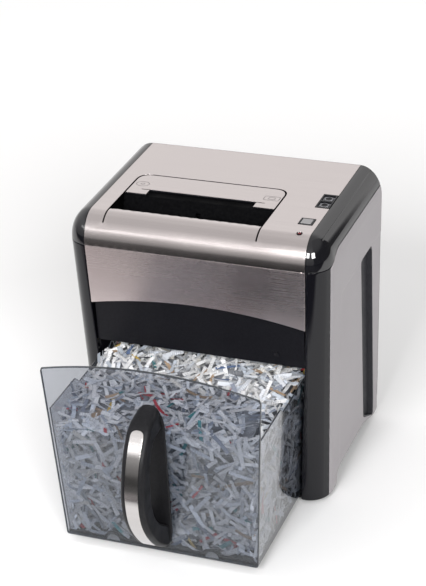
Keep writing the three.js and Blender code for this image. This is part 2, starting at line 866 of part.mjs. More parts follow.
function pitchRadius(gear) {
  return (gear.module * gear.teeth) / 2;
}

function meshedPlace([y, z], gearA, gearB, angle) {
  const distance = pitchRadius(gearA) + pitchRadius(gearB);
  return [y + distance * Math.cos(angle), z + distance * Math.sin(angle)];
}

const REAR_AXIS = [REAR_CUTTER_Y, CUTTER_Z];
const FRONT_AXIS = [FRONT_CUTTER_Y, CUTTER_Z];
const SECOND_AXIS = meshedPlace(REAR_AXIS, DRIVE, SECOND_SMALL, SECOND_ANGLE);
const FIRST_AXIS = meshedPlace(SECOND_AXIS, SECOND_LARGE, FIRST_SMALL, FIRST_ANGLE);
const MOTOR_AXIS = meshedPlace(FIRST_AXIS, FIRST_LARGE, PINION, MOTOR_ANGLE);

// Spur gear along x with straight-flanked teeth. One tooth points at angle phase.
function gear(spec, [y, z], layer, phase, boreRadius = 0) {
  const pitch = pitchRadius(spec);
  const step = (2 * Math.PI) / spec.teeth;
  const root = pitch - 1.2 * spec.module;
  const tip = pitch + 0.85 * spec.module;
  const flank = [[-0.3, root], [-0.11, tip], [0.11, tip], [0.3, root]];
  const shape = new THREE.Shape();
  for (let tooth = 0; tooth < spec.teeth; tooth += 1) {
    flank.forEach(([part, radius], i) => {
      const angle = phase + (tooth + part) * step;
      const point = [radius * Math.cos(angle), radius * Math.sin(angle)];
      if (tooth === 0 && i === 0) shape.moveTo(...point);
      else shape.lineTo(...point);
    });
  }
  if (boreRadius > 0) {
    const hole = new THREE.Path();
    hole.absarc(0, 0, boreRadius, 0, 2 * Math.PI, true);
    shape.holes.push(hole);
  }
  return prism(shape, 'x', layer, 8).translate(0, y, z);
}

// Phase of a gear whose gap receives a tooth of its neighbour, which lies at this angle.
function gapTowards(angle, spec) {
  return angle + Math.PI / spec.teeth;
}

function frameSide(x, depth, holes) {
  const face = rectangle([18, depth], [CHASSIS_Z + SHELL + GAP, 364], 8);
  return prism(face, 'x', [x, x + FRAME_THICK]).subtract(unite(holes));
}

// Clearance holes for the two idlers' axles and the motor's shaft.
function gearHoles() {
  return [
    boreX(AXLE_R + 0.4, SECOND_AXIS),
    boreX(AXLE_R + 0.4, FIRST_AXIS),
    boreX(5, MOTOR_AXIS),
  ];
}

function gearPlate() {
  const shape = outline([
    [118, 250, 8],
    [214, 250, 8],
    [214, 345, 8],
    [140, 362, 8],
    [118, 362, 8],
  ]);
  const posts = [[130, 352], [206, 332], [150, 259]];
  const plate = prism(shape, 'x', [GEAR_PLATE_X, GEAR_PLATE_X + FRAME_THICK]);
  const length = [FRAME_RIGHT + FRAME_THICK + GAP, GEAR_PLATE_X + 1];
  const postRods = posts.map(([y, z]) => rodX(3.6, length, y, z, 12));
  return unite([plate, ...postRods]).subtract(unite(gearHoles()));
}

function axle(place) {
  return rodX(AXLE_R, [FRAME_RIGHT - 4, GEAR_PLATE_X + FRAME_THICK + 2], ...place, 16);
}

function secondIdler() {
  const length = [DRIVE_LAYER[0], SECOND_LAYER[0] + 1];
  const phase = gapTowards(SECOND_ANGLE + Math.PI, SECOND_SMALL);
  return unite([
    axle(SECOND_AXIS),
    gear(SECOND_SMALL, SECOND_AXIS, length, phase),
    gear(SECOND_LARGE, SECOND_AXIS, SECOND_LAYER, FIRST_ANGLE),
  ]);
}

function firstIdler() {
  const length = [SECOND_LAYER[0], FIRST_LAYER[0] + 1];
  const phase = gapTowards(FIRST_ANGLE + Math.PI, FIRST_SMALL);
  return unite([
    axle(FIRST_AXIS),
    gear(FIRST_SMALL, FIRST_AXIS, length, phase),
    gear(FIRST_LARGE, FIRST_AXIS, FIRST_LAYER, MOTOR_ANGLE),
  ]);
}

function motorBody() {
  const [y, z] = MOTOR_AXIS;
  const profile = [
    [0, -8],
    [9, -8],
    [9, 0],
    [MOTOR_R - 4, 0],
    [MOTOR_R, 4],
    [MOTOR_R, 84],
    [MOTOR_R - 4, 88],
    [11, 88],
    [11, 92],
    [0, 92],
  ];
  return turnedX(profile, y, z, 24).subtract(rodX(3, [60, 100], y, z, 12));
}

function motorRotor() {
  return rodX(2.5, [62, FIRST_LAYER[1] + 1], ...MOTOR_AXIS, 12)
    .add(gear(PINION, MOTOR_AXIS, FIRST_LAYER, gapTowards(MOTOR_ANGLE + Math.PI, PINION)));
}

// Mains board behind the cutting block, with its relay, choke and capacitors.
function powerBoard() {
  const y = 240;
  const face = [y - 24, y + 0.5];
  return unite([
    block([-150, -40], [y, y + 1.6], [238, 338]),
    block([-140, -112], face, [250, 272]),
    block([-100, -74], [y - 20, y + 0.5], [248, 286]),
    block([-140, -120], [y - 16, y + 0.5], [290, 322]),
    block([-70, -48], [y - 12, y + 0.5], [296, 326]),
  ]);
}

// Safety switch that the shut bin's front presses.
function interlockSwitch() {
  const shell = block(
    [PLUNGER_X - 12, PLUNGER_X + 12],
    [FASCIA_Y + SHELL + GAP, 32],
    [CHASSIS_Z + SHELL + GAP, 250],
  );
  return shell.subtract(plungerWell([0, 26]));
}

function interlockPlunger() {
  return plungerSquare(0, [4.5, 20]);
}

function buildMechanism() {
  const shift = DISC_PITCH / 2;
  const shaftHoles = [boreX(BUSH_R + 0.3, FRONT_AXIS), boreX(BUSH_R + 0.3, REAR_AXIS)];
  const leftSpan = [FRAME_LEFT - 2, FRAME_LEFT + FRAME_THICK + 2];
  const rightSpan = [FRAME_RIGHT - 2, FRAME_RIGHT + FRAME_THICK + 1];
  addPiece('left_frame', frameSide(FRAME_LEFT, 112, shaftHoles), ZINC);
  addPiece('right_frame', frameSide(FRAME_RIGHT, 236, [...shaftHoles, ...gearHoles()]), ZINC);
  addPiece('front_left_bush', bush(leftSpan, FRONT_CUTTER_Y), BRONZE);
  addPiece('rear_left_bush', bush(leftSpan, REAR_CUTTER_Y), BRONZE);
  addPiece('front_right_bush', bush(rightSpan, FRONT_CUTTER_Y), BRONZE);
  addPiece('rear_right_bush', bush(rightSpan, REAR_CUTTER_Y), BRONZE);
  addPiece('front_cutter', cutter(FRONT_CUTTER_Y, 0, SYNC_LAYER[1] + 0.6), CUTTER_STEEL);
  addPiece('rear_cutter', cutter(REAR_CUTTER_Y, shift, DRIVE_LAYER[1] + 1), CUTTER_STEEL);
  addPiece('front_stripper', stripper(FRONT_CUTTER_Y, 0, -1), ZINC);
  addPiece('rear_stripper', stripper(REAR_CUTTER_Y, shift, 1), ZINC);
  const onShaft = SHAFT_R + 0.3;
  addPiece('front_sync_gear', gear(SYNC, FRONT_AXIS, SYNC_LAYER, 0, onShaft), NYLON);
  addPiece('rear_sync_gear', gear(SYNC, REAR_AXIS, SYNC_LAYER, gapTowards(Math.PI, SYNC), onShaft), NYLON);
  addPiece('drive_gear', gear(DRIVE, REAR_AXIS, DRIVE_LAYER, SECOND_ANGLE, onShaft), NYLON);
  addPiece('second_idler', secondIdler(), NYLON);
  addPiece('first_idler', firstIdler(), NYLON);
  addPiece('gear_plate', gearPlate(), ZINC);
  addPiece('motor_body', motorBody(), ZINC);
  addPiece('motor_rotor', motorRotor(), CUTTER_STEEL);
  addPiece('power_board', powerBoard(), BOARD);
  addPiece('interlock_switch', interlockSwitch(), BLACK);
  addPiece('interlock_plunger', interlockPlunger(), BLACK);
}

// ---------- bin ----------

function binHalf(z) {
  return BIN_FOOT_HALF + BIN_FLARE * (z - BIN_BOTTOM);
}

// Trapezoid across the bin with a half-round tunnel over each rail.
function binSection(low, high, shrink, tunnel) {
  const shape = new THREE.Shape();
  shape.moveTo(binHalf(high) - shrink, high);
  shape.lineTo(-binHalf(high) + shrink, high);
  shape.lineTo(-binHalf(low) + shrink, low);
  [-1, 1].forEach((side) => {
    const rise = Math.asin(Math.max(0, (low - BIN_BOTTOM) / tunnel));
    shape.lineTo(side * RAIL_X - tunnel * Math.cos(rise), low);
    shape.absarc(side * RAIL_X, BIN_BOTTOM, tunnel, Math.PI - rise, rise, true);
  });
  shape.lineTo(binHalf(low) - shrink, low);
  return shape;
}

// Tub with an open front, which the bin's front closes.
function binTub() {
  const shellShrink = 1;
  const high = RIM_HIGH + 10;
  const back = BIN_BACK;
  const front = FRONT_THICK + GAP;
  const side = outline([
    [0, 0],
    [back, 0],
    [back, RIM_LOW],
    [RIM_STEP_Y[1], RIM_LOW, 3],
    [RIM_STEP_Y[0], RIM_HIGH, 3],
    [0, RIM_HIGH],
  ]);
  const outer = prism(binSection(BIN_BOTTOM, high, shellShrink, TUNNEL_R), 'y', [front, back], 10);
  const inner = prism(
    binSection(BIN_BOTTOM + BIN_WALL, high + 5, shellShrink + BIN_WALL, TUNNEL_R + BIN_WALL),
    'y',
    [front - 1, back - BIN_WALL],
    10,
  );
  return outer.intersect(prism(side, 'x', [-200, 200])).subtract(inner);
}

function binFront() {
  const topHalf = binHalf(FRONT_SHOULDER_Z);
  const arch = archPoints(topHalf - 1.5, FRONT_SHOULDER_Z, FRONT_RISE).reverse();
  const shape = outline([
    [-BIN_FOOT_HALF, BIN_BOTTOM, 4],
    [BIN_FOOT_HALF, BIN_BOTTOM, 4],
    [topHalf, FRONT_SHOULDER_Z - 2],
    ...arch,
    [-topHalf, FRONT_SHOULDER_Z - 2],
  ]);
  return prism(shape, 'y', [0, FRONT_THICK]);
}

// ---------- handle ----------

const HANDLE_BASE = { half: 20, low: 19, high: 244, thick: 3 };

function handleBase() {
  const { half, low, high, thick } = HANDLE_BASE;
  const shape = outline([
    [-half * 0.55, low, 6],
    [half * 0.55, low, 6],
    [half, low + 20, 10],
    [half, high - 22, 12],
    [half * 0.5, high, 8],
    [-half * 0.5, high, 8],
    [-half, high - 22, 12],
    [-half, low + 20, 10],
  ]);
  return prism(shape, 'y', [-thick - GAP, -GAP]);
}

// The bowed grip's side outline, as [reach from the bin's front, height].
const GRIP_OUTER = [
  [8, 241], [38, 231], [64, 197], [77, 158], [79, 132], [74, 104], [60, 76], [38, 48], [14, 29],
];
const GRIP_INNER = [
  [8, 62], [28, 78], [44, 100], [51, 128], [50, 158], [45, 184], [31, 206], [8, 211],
];

function gripOutline() {
  const spline = (points) => new THREE.SplineCurve(points.map(([r, z]) => new THREE.Vector2(-r, z)));
  const outer = spline(GRIP_OUTER).getPoints(20);
  const inner = spline(GRIP_INNER).getPoints(14);
  const root = -HANDLE_BASE.thick - 2 * GAP;
  const shape = new THREE.Shape();
  shape.moveTo(root, 243);
  outer.forEach((p) => shape.lineTo(p.x, p.y));
  shape.lineTo(root, 24);
  shape.lineTo(root, 58);
  inner.forEach((p) => shape.lineTo(p.x, p.y));
  shape.lineTo(root, 211);
  return shape;
}

// Front view of the grip: its ends are rounded like the base's.
function gripFront() {
  const half = HANDLE_HALF;
  return outline([
    [-half * 0.5, 22, 6],
    [half * 0.5, 22, 6],
    [half, 42, 10],
    [half, 222, 14],
    [half * 0.5, 243, 8],
    [-half * 0.5, 243, 8],
    [-half, 222, 14],
    [-half, 42, 10],
  ]);
}

// The steel inlay's bed: a strip along the outer face, between two heights.
const INLAY_HALF = 9.2;
const INLAY_Z = [44, 229];
const INLAY_THICK = 1.2;

function inlayRegion(grow) {
  const half = INLAY_HALF + grow;
  const shape = outline([
    [-half, INLAY_Z[0] - grow, 2],
    [half, INLAY_Z[0] - grow, 2],
    [half, INLAY_Z[1] + grow, 8],
    [-half, INLAY_Z[1] + grow, 8],
  ]);
  return prism(shape, 'y', [-HANDLE_REACH - 5, -20]);
}

function gripBody() {
  return prism(gripOutline(), 'x', [-30, 30]);
}

function handleGrip() {
  const bed = inlayRegion(GAP).subtract(gripBody().translate(0, INLAY_THICK + GAP, 0));
  return prism(gripOutline(), 'x', [-HANDLE_HALF, HANDLE_HALF])
    .intersect(prism(gripFront(), 'y', [-HANDLE_REACH - 5, 5]))
    .subtract(bed);
}

function handleInlay() {
  return gripBody()
    .intersect(inlayRegion(0))
    .subtract(gripBody().translate(0, INLAY_THICK, 0));
}

function buildBin() {
  addPiece('bin_tub', binTub(), SMOKE, bin);
  addPiece('bin_front', binFront(), SMOKE, bin);
  addPiece('handle_base', handleBase(), BLACK, bin);
  addPiece('handle_grip', handleGrip(), CHARCOAL, bin);
  addPiece('handle_inlay', handleInlay(), STEEL, bin);
}

buildSkins();
buildControls();
buildBody();
buildMechanism();
buildBin();

// The reference point is under the middle of the whole object with its bin open.
const extent = new THREE.Box3().setFromObject(shredder);
shredder.position.y = -(extent.min.y + extent.max.y) / 2;

export default shredder;
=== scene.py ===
"""Looks of the deskside paper shredder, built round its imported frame."""
import math
import random

import bmesh
import bpy
import numpy as np
from mathutils import Matrix, Vector, geometry


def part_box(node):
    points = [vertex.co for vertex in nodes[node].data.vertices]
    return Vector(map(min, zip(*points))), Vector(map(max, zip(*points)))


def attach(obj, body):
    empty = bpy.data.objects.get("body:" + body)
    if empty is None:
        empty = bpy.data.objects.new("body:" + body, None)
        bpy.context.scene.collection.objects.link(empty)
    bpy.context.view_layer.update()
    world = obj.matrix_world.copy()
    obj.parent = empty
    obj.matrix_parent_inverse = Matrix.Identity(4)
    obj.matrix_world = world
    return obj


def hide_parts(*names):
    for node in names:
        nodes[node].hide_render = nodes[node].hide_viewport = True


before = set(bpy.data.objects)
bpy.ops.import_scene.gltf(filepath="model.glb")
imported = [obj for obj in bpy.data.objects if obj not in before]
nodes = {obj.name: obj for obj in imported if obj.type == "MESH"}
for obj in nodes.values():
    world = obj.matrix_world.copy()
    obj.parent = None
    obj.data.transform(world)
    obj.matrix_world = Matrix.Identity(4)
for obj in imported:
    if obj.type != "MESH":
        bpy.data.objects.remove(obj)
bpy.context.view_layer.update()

MM = 0.001
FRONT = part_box("front_panel")[0].y  # the cabinet's front plane
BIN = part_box("bin_front")[0].y  # the bin's front plane, where the bin stands open

# ---------- sizes, in millimetres from the front plane and the floor ----------

GAP = 0.4
SEAM = 370.0
HEIGHT = 412.0
SIDE_SEAM = 385.2
BACK = 255.6
TOP_HALF = 159.3
EDGE_X, EDGE_Y, EDGE_Z = 30.5, 35.0, 42.0  # the rounded edge's three radii
TAPER = 0.031
QUARTER = 58.0  # length of the rounded edge in the flat map
CORNER = 51.5  # length of the rounded corner in plan
KINK = (156.8, 274.0)
FOOT_HALF = 142.2
BASE_Z, BASE_TOP = 6.4, 9.9
PILLAR_Y = 22.8
ARCH_Z, ARCH_RISE = 281.0, 16.0
SLOT_X = (-135.0, 89.0)
SLOT_MID = -23.0
THROAT_Y = (40.0, 91.0)
SLOT_BACK = 153.0
SIDE_LOW, SIDE_HEEL = 27.0, 9.6  # heights of the side's lower edge and of its rear foot
SLACK = 1.3  # width of the shadow line between the cap and the side
LED_X, LED_Y = 143.0, 30.6
POWER_X, POWER_Y = (132, 152), (56, 75)
KEY_X = 148.7
BIN_FLOOR = 10.7
FOOT_WIDTH = 140.2  # half the bin's width at its floor
BIN_FLARE = 0.0558
BIN_WALL = 2.6
BIN_END = 236.0  # the tub's back
TUNNEL_X, TUNNEL = 72.5, 9.6  # the two tunnels over the guide rails: place and radius


def at(x, y, z, origin=FRONT):
    """A point in metres, from millimetres behind a front plane."""
    return Vector((x * MM, origin + y * MM, z * MM))


def narrowing(z):
    """How far the walls have drawn in at a height."""
    return TAPER * max(0.0, SEAM - z)


def pillar_inner(z):
    """The pillar's inner edge, which turns at the kink."""
    upper = (TOP_HALF + GAP - KINK[0]) / (SEAM - KINK[1])
    lower = (KINK[0] - FOOT_HALF) / (KINK[1] - BASE_TOP)
    return KINK[0] + (upper if z > KINK[1] else lower) * (z - KINK[1])


def bin_half(z):
    """Half the bin's width, which flares upwards."""
    return FOOT_WIDTH + BIN_FLARE * (z - BIN_FLOOR)


# ---------- flat outlines ----------


def refined(points, step):
    """The closed loop with no side longer than step."""
    out = []
    for a, b in zip(points, points[1:] + points[:1]):
        count = max(1, math.ceil((b - a).length / step - 1e-6))
        out += [a.lerp(b, i / count) for i in range(count)]
    return out


def outline(corners, step=6.0, bends=6):
    """A closed loop through corner points. A corner (a, b, r) is rounded from r before it to r after it."""
    points = [Vector(c[:2]) for c in corners]
    loop = []
    for i, corner in enumerate(corners):
        radius = corner[2] if len(corner) > 2 else 0
        here, before, after = points[i], points[i - 1], points[(i + 1) % len(points)]
        if not radius:
            loop.append(here)
            continue
        start = here + (before - here).normalized() * radius
        end = here + (after - here).normalized() * radius
        for k in range(bends + 1):
            t = k / bends
            loop.append(start * (1 - t) ** 2 + here * 2 * t * (1 - t) + end * t * t)
    return refined(loop, step)


def rectangle(a, b, radius=0.0, step=6.0):
    corners = ((a[0], b[0]), (a[1], b[0]), (a[1], b[1]), (a[0], b[1]))
    return outline([(x, y, radius) for x, y in corners], step)


def ellipse(x, y, across, deep, count):
    angles = [2 * math.pi * k / count for k in range(count)]
    return [Vector((x + across * math.cos(a), y + deep * math.sin(a))) for a in angles]


def signed_area(loop):
    return sum(a.x * b.y - a.y * b.x for a, b in zip(loop, loop[1:] + loop[:1])) / 2


def cleaned(loop):
    """The loop without points that lie on their neighbour."""
    out = []
    for p in loop:
        if not out or (p - out[-1]).length > 0.02:
            out.append(p)
    if (out[0] - out[-1]).length < 0.02:
        out.pop()
    return out


def drawn_in(loop, distance):
    """The loop moved to its left by distance."""
    out = []
    for i, here in enumerate(loop):
        back = (here - loop[i - 1]).normalized()
        ahead = (loop[(i + 1) % len(loop)] - here).normalized()
        n1, n2 = Vector((-back.y, back.x)), Vector((-ahead.y, ahead.x))
        out.append(here + (n1 + n2) * (distance / max(0.5, 1 + n1.dot(n2))))
    return out


def inside(points, loops):
    """Which of the points lie inside the loops, by the even-odd rule."""
    p = np.asarray(points, float)
    odd = np.zeros(len(p), bool)
    for loop in loops:
        a = np.array([tuple(v) for v in loop])
        b = np.roll(a, -1, axis=0)
        for (ax, ay), (bx, by) in zip(a, b):
            if ay == by:
                continue
            crosses = (ay > p[:, 1]) != (by > p[:, 1])
            odd ^= crosses & (p[:, 0] < (bx - ax) * (p[:, 1] - ay) / (by - ay) + ax)
    return odd


def spread(low, high, step):
    """Even stations from low to high, about a step apart."""
    count = max(1, round((high - low) / step))
    return [low + (high - low) * i / count for i in range(count + 1)]


# ---------- meshes ----------


def crossings(us, vs, loops, clear):
    """The crossings of the lines us and vs inside the loops and more than clear from them."""
    grid = np.array([(u, v) for u in us for v in vs])
    if not len(grid):
        return []
    rims = np.array([tuple(p) for loop in loops for p in loop])
    return [Vector(g) for g in grid[inside(grid, loops)] if np.hypot(*(rims - g).T).min() > clear]


def bridge(bm, rows, closed=True):
    """Faces between each row of points and the next, listed row by row. A row may be a single point."""
    bands = []
    for a, b in zip(rows, rows[1:]):
        count = max(len(a), len(b))
        band = []
        for i in range(count if closed else count - 1):
            corners = (a[i % len(a)], a[(i + 1) % len(a)], b[(i + 1) % len(b)], b[i % len(b)])
            corners = list(dict.fromkeys(corners))
            if len(corners) > 2:
                band.append(bm.faces.new(corners))
        bands.append(band)
    return bands


def shade(bm, sharp):
    """Smooth faces, with sharp edges above an angle in degrees."""
    limit = math.radians(sharp)
    for edge in bm.edges:
        edge.smooth = len(edge.link_faces) == 2 and edge.calc_face_angle(0) < limit
    for face in bm.faces:
        face.smooth = True


def weigh_normals(piece):
    weigh = piece.modifiers.new("weigh", "WEIGHTED_NORMAL")
    weigh.keep_sharp = True


def round_edges(piece, width, angle):
    """A narrow rounding on the edges above an angle in degrees."""
    bevel = piece.modifiers.new("round", "BEVEL")
    bevel.width = width * MM
    bevel.segments = 2
    bevel.limit_method = "ANGLE"
    bevel.angle_limit = math.radians(angle)


def finished(bm, name, sharp=38.0, material=None):
    """A new object from bm, smooth but for its sharp edges."""
    bmesh.ops.recalc_face_normals(bm, faces=bm.faces)
    shade(bm, sharp)
    mesh = bpy.data.meshes.new(name)
    bm.to_mesh(mesh)
    bm.free()
    piece = bpy.data.objects.new(name, mesh)
    bpy.context.scene.collection.objects.link(piece)
    weigh_normals(piece)
    if material:
        mesh.materials.append(material)
    return piece


def panel(name, loops, place, thick, us, vs, material, edge=0.5, steps=3, clear=1.2, rim=None, wall=None):
    """A closed sheet with rounded edges. loops are its outline and holes on the flat, and place(u, v, inset)
    puts a point of the flat in space. The crossings of the lines us and vs, where they are clear of the
    outline, carry its curved face. rim colours the whole edge, wall only its part behind the rounding."""
    loops = [cleaned(loop) for loop in loops]
    loops = [loop if (signed_area(loop) > 0) == (i == 0) else loop[::-1] for i, loop in enumerate(loops)]
    faces_in = [drawn_in(loop, edge) for loop in loops]
    ring_edges, start = [], 0
    for loop in faces_in:
        ring_edges += [(start + i, start + (i + 1) % len(loop)) for i in range(len(loop))]
        start += len(loop)
    flat = [p for loop in faces_in for p in loop] + crossings(us, vs, faces_in, clear)
    points, _, tris, origin, _, _ = geometry.delaunay_2d_cdt(flat, ring_edges, [], 0, 1e-5, True)
    middles = [sum((points[i] for i in tri), Vector((0, 0))) / 3 for tri in tris]
    where = {source: index for index, sources in enumerate(origin) for source in sources}
    bm = bmesh.new()
    front = [bm.verts.new(place(p.x, p.y, 0.0)) for p in points]
    back = [bm.verts.new(place(p.x, p.y, thick)) for p in points]
    for tri, kept in zip(tris, inside(middles, faces_in)):
        if kept:
            bm.faces.new([front[i] for i in tri])
            bm.faces.new([back[i] for i in reversed(tri)])
    start = 0
    for loop in loops:
        ring = [where[start + i] for i in range(len(loop))]
        rows = [[front[i] for i in ring]]
        for k in range(steps - 1, -1, -1):
            angle = math.radians(90) * k / steps
            moved = drawn_in(loop, edge * (1 - math.cos(angle)))
            inset = edge * (1 - math.sin(angle))
            rows.append([bm.verts.new(place(p.x, p.y, inset)) for p in moved])
        rows.append([bm.verts.new(place(p.x, p.y, thick - min(0.3, thick / 4))) for p in loop])
        rows.append([back[i] for i in ring])
        for depth, band in enumerate(bridge(bm, rows)):
            for face in band:
                face.material_index = 1 if rim or (wall and depth >= steps) else 0
        start += len(loop)
    loose = [v for v in bm.verts if not v.link_faces]
    bmesh.ops.delete(bm, geom=loose, context="VERTS")
    bmesh.ops.remove_doubles(bm, verts=bm.verts, dist=2e-6)
    bmesh.ops.join_triangles(bm, faces=bm.faces, angle_face_threshold=math.radians(12),
                             angle_shape_threshold=math.radians(25))
    piece = finished(bm, name, material=material)
    if rim or wall:
        piece.data.materials.append(rim or wall)
    return piece


def mirrored(piece, name):
    """A new object on the other side of x = 0."""
    bm = bmesh.new()
    bm.from_mesh(piece.data)
    bmesh.ops.scale(bm, vec=(-1, 1, 1), verts=bm.verts)
    twin = finished(bm, name)
    for material in piece.data.materials:
        twin.data.materials.append(material)
    return twin


def lathe(name, profile, x, y, material, sides=48, place=at):
    """A turned piece. profile lists (radius, height) from the axis back to the axis."""
    bm = bmesh.new()
    rings = []
    for radius, height in profile:
        ring = ellipse(x, y, radius, radius, sides if radius > 0 else 1)
        rings.append([bm.verts.new(place(p.x, p.y, height)) for p in ring])
    bridge(bm, rings)
    return finished(bm, name, material=material)


def stands_for(piece, body, slot, *replaced):
    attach(piece, body)
    if replaced:
        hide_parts(*replaced)


def both_sides(right, left_name, slot, node):
    """The right-hand piece and its mirror image, each for its own CAD node."""
    left = mirrored(right, left_name)
    stands_for(right, "cabinet", slot, "right_" + node)
    stands_for(left, "cabinet", slot, "left_" + node)


# ---------- materials ----------


class Nodes:
    """Nodes added to a tree. An input takes a value or another node's output."""

    def __init__(self, tree):
        self.tree = tree

    def feed(self, made, socket, value):
        if isinstance(value, bpy.types.NodeSocket):
            self.tree.links.new(value, made.inputs[socket])
        else:
            made.inputs[socket].default_value = value

    def node(self, kind, links=None, **settings):
        made = self.tree.nodes.new(kind)
        for key, value in settings.items():
            setattr(made, key, value)
        for socket, value in (links or {}).items():
            self.feed(made, socket, value)
        return made

    def ramp(self, fac, low, high, a=0.0, b=1.0):
        """fac from a to b becomes low to high."""
        made = self.node("ShaderNodeMapRange", {
            "Value": fac, "From Min": a, "From Max": b, "To Min": low, "To Max": high})
        return made.outputs[0]

    def math(self, operation, a, b=0.0):
        return self.node("ShaderNodeMath", {0: a, 1: b}, operation=operation).outputs[0]


class Shader(Nodes):
    """A material under construction: one Principled shader and the nodes that drive it."""

    def __init__(self, name, color, roughness, metallic=0.0, **sockets):
        self.material = bpy.data.materials.new(name)
        self.material.use_nodes = True
        super().__init__(self.material.node_tree)
        self.shader = self.tree.nodes["Principled BSDF"]
        self.drive("Base Color", (*color, 1))
        self.drive("Roughness", roughness)
        self.drive("Metallic", metallic)
        for socket, value in sockets.items():
            self.drive(socket.replace("_", " ").title().replace("Ior", "IOR"), value)
        self.place = self.node("ShaderNodeTexCoord").outputs["Object"]

    def drive(self, socket, value):
        self.feed(self.shader, socket, value)

    def noise(self, scale, detail=3.0, stretch=(1, 1, 1), rough=0.55, place=None):
        moved = self.node("ShaderNodeMapping", {"Vector": place or self.place, "Scale": stretch})
        made = self.node("ShaderNodeTexNoise", {
            "Vector": moved.outputs[0], "Scale": scale, "Detail": detail, "Roughness": rough})
        return made.outputs["Fac"]

    def blend(self, fac, a, b, kind="MIX"):
        made = self.node("ShaderNodeMix", {0: fac}, data_type="RGBA", blend_type=kind)
        for index, value in ((6, a), (7, b)):
            self.feed(made, index, (*value, 1) if isinstance(value, tuple) else value)
        return made.outputs[2]

    def bump(self, *layers):
        """Each layer is (height, depth in metres, strength)."""
        normal = None
        for height, depth, strength in layers:
            links = {"Height": height, "Distance": depth, "Strength": strength}
            if normal:
                links["Normal"] = normal
            normal = self.node("ShaderNodeBump", links).outputs[0]
        self.drive("Normal", normal)


def scaled(color, factor, lift=0.0):
    return tuple(min(1, c * factor + lift) for c in color)


def moulded(name, color, roughness, grain=9000, depth=1.2e-5, **sockets):
    """Moulded plastic: fine spark-eroded grain, with faint patches where hands polish it."""
    s = Shader(name, color, roughness, **sockets)
    patches = s.noise(38, 4)
    fine = s.noise(grain, 2)
    s.drive("Roughness", s.ramp(patches, roughness * 0.76, roughness * 1.24, 0.3, 0.7))
    clouds = s.ramp(s.noise(300, 5), 0, 1, 0.3, 0.7)
    s.drive("Base Color", s.blend(clouds, scaled(color, 0.88), scaled(color, 1.16, 0.003)))
    s.bump((fine, depth, 0.6), (patches, 3e-5, 0.15))
    return s.material


def brushed(name, color, roughness, painted_reflection=()):
    """Sheet metal brushed along x, smudged a little. Its list of (height, factor) pairs scales its colour by
    height: a painted reflection.
    """
    s = Shader(name, color, roughness, 1.0)
    streaks = s.noise(1.0, 6, (3, 1500, 1500), 0.7)
    broad = s.noise(1.0, 3, (0.36, 180, 180), 0.5)
    grain = s.ramp(streaks, roughness - 0.015, roughness + 0.02, 0.3, 0.7)
    s.drive("Roughness", s.math("ADD", grain, s.ramp(s.noise(9, 4), -0.02, 0.03, 0.3, 0.7)))
    mixed = s.math("ADD", s.ramp(streaks, 0, 0.65, 0.3, 0.7), s.ramp(broad, 0, 0.35, 0.3, 0.7))
    metal = s.blend(mixed, scaled(color, 0.94), scaled(color, 1.04))
    # painted reflection: the colour is darkened and lightened in bands by height
    if painted_reflection:
        height = s.node("ShaderNodeSeparateXYZ", {0: s.place}).outputs["Z"]
        level = painted_reflection[0][1]
        for (low, before), (high, after) in zip(painted_reflection, painted_reflection[1:]):
            level = s.math("ADD", level, s.ramp(height, 0, after - before, low * MM, high * MM))
        painted_reflection_tone = s.node("ShaderNodeCombineColor", {0: level, 1: level, 2: level}).outputs[0]
        metal = s.blend(1.0, metal, painted_reflection_tone, "MULTIPLY")
    s.drive("Base Color", metal)
    s.bump((streaks, 3e-7, 0.3))
    return s.material


def glossy(name, color, roughness, **sockets):
    """High-gloss moulding with a slight orange peel, dust and hairline scratches."""
    s = Shader(name, color, roughness, **sockets)
    dust = s.noise(2600, 2)
    hair = s.ramp(s.noise(1.0, 4, (600, 60, 900), 0.6), 0, 0.05, 0.55, 0.8)
    s.drive("Roughness", s.math("ADD", s.ramp(dust, roughness, roughness + 0.12, 0.62, 0.8), hair))
    s.drive("Base Color", s.blend(s.ramp(dust, 0, 0.5, 0.66, 0.85), color, scaled(color, 2.5, 0.01)))
    s.bump((s.noise(85, 2), 1.2e-5, 0.25))
    return s.material


def painted(name, color, roughness):
    """Silver paint: fine flakes over a smooth moulding."""
    s = Shader(name, color, roughness)
    flakes = s.node("ShaderNodeTexVoronoi", {"Vector": s.place, "Scale": 3500.0}).outputs["Color"]
    bright = s.node("ShaderNodeSeparateColor", {0: flakes}).outputs[0]
    cloud = s.noise(14, 4)
    glitter = s.math("ADD", s.ramp(bright, 0, 0.7), s.ramp(cloud, 0, 0.3, 0.3, 0.7))
    s.drive("Base Color", s.blend(glitter, scaled(color, 0.9), scaled(color, 1.1)))
    s.drive("Roughness", s.ramp(cloud, roughness - 0.05, roughness + 0.06, 0.3, 0.7))
    s.bump((s.noise(5200, 2), 6e-6, 0.4), (s.noise(60, 2), 2e-5, 0.1))
    return s.material


def plated(name, color, roughness):
    """Plated or machined steel: blotches, faint scoring and a little oil."""
    s = Shader(name, color, roughness, 1.0)
    blotch = s.noise(45, 5)
    score = s.noise(1.0, 4, (2600, 240, 240), 0.7)
    worn = s.ramp(blotch, roughness - 0.08, roughness + 0.1, 0.3, 0.7)
    s.drive("Base Color", s.blend(s.ramp(blotch, 0, 1, 0.3, 0.7), scaled(color, 0.8), scaled(color, 1.12)))
    s.drive("Roughness", s.math("ADD", worn, s.ramp(score, 0, 0.06)))
    s.bump((score, 3e-6, 0.5), (blotch, 1e-5, 0.2))
    return s.material


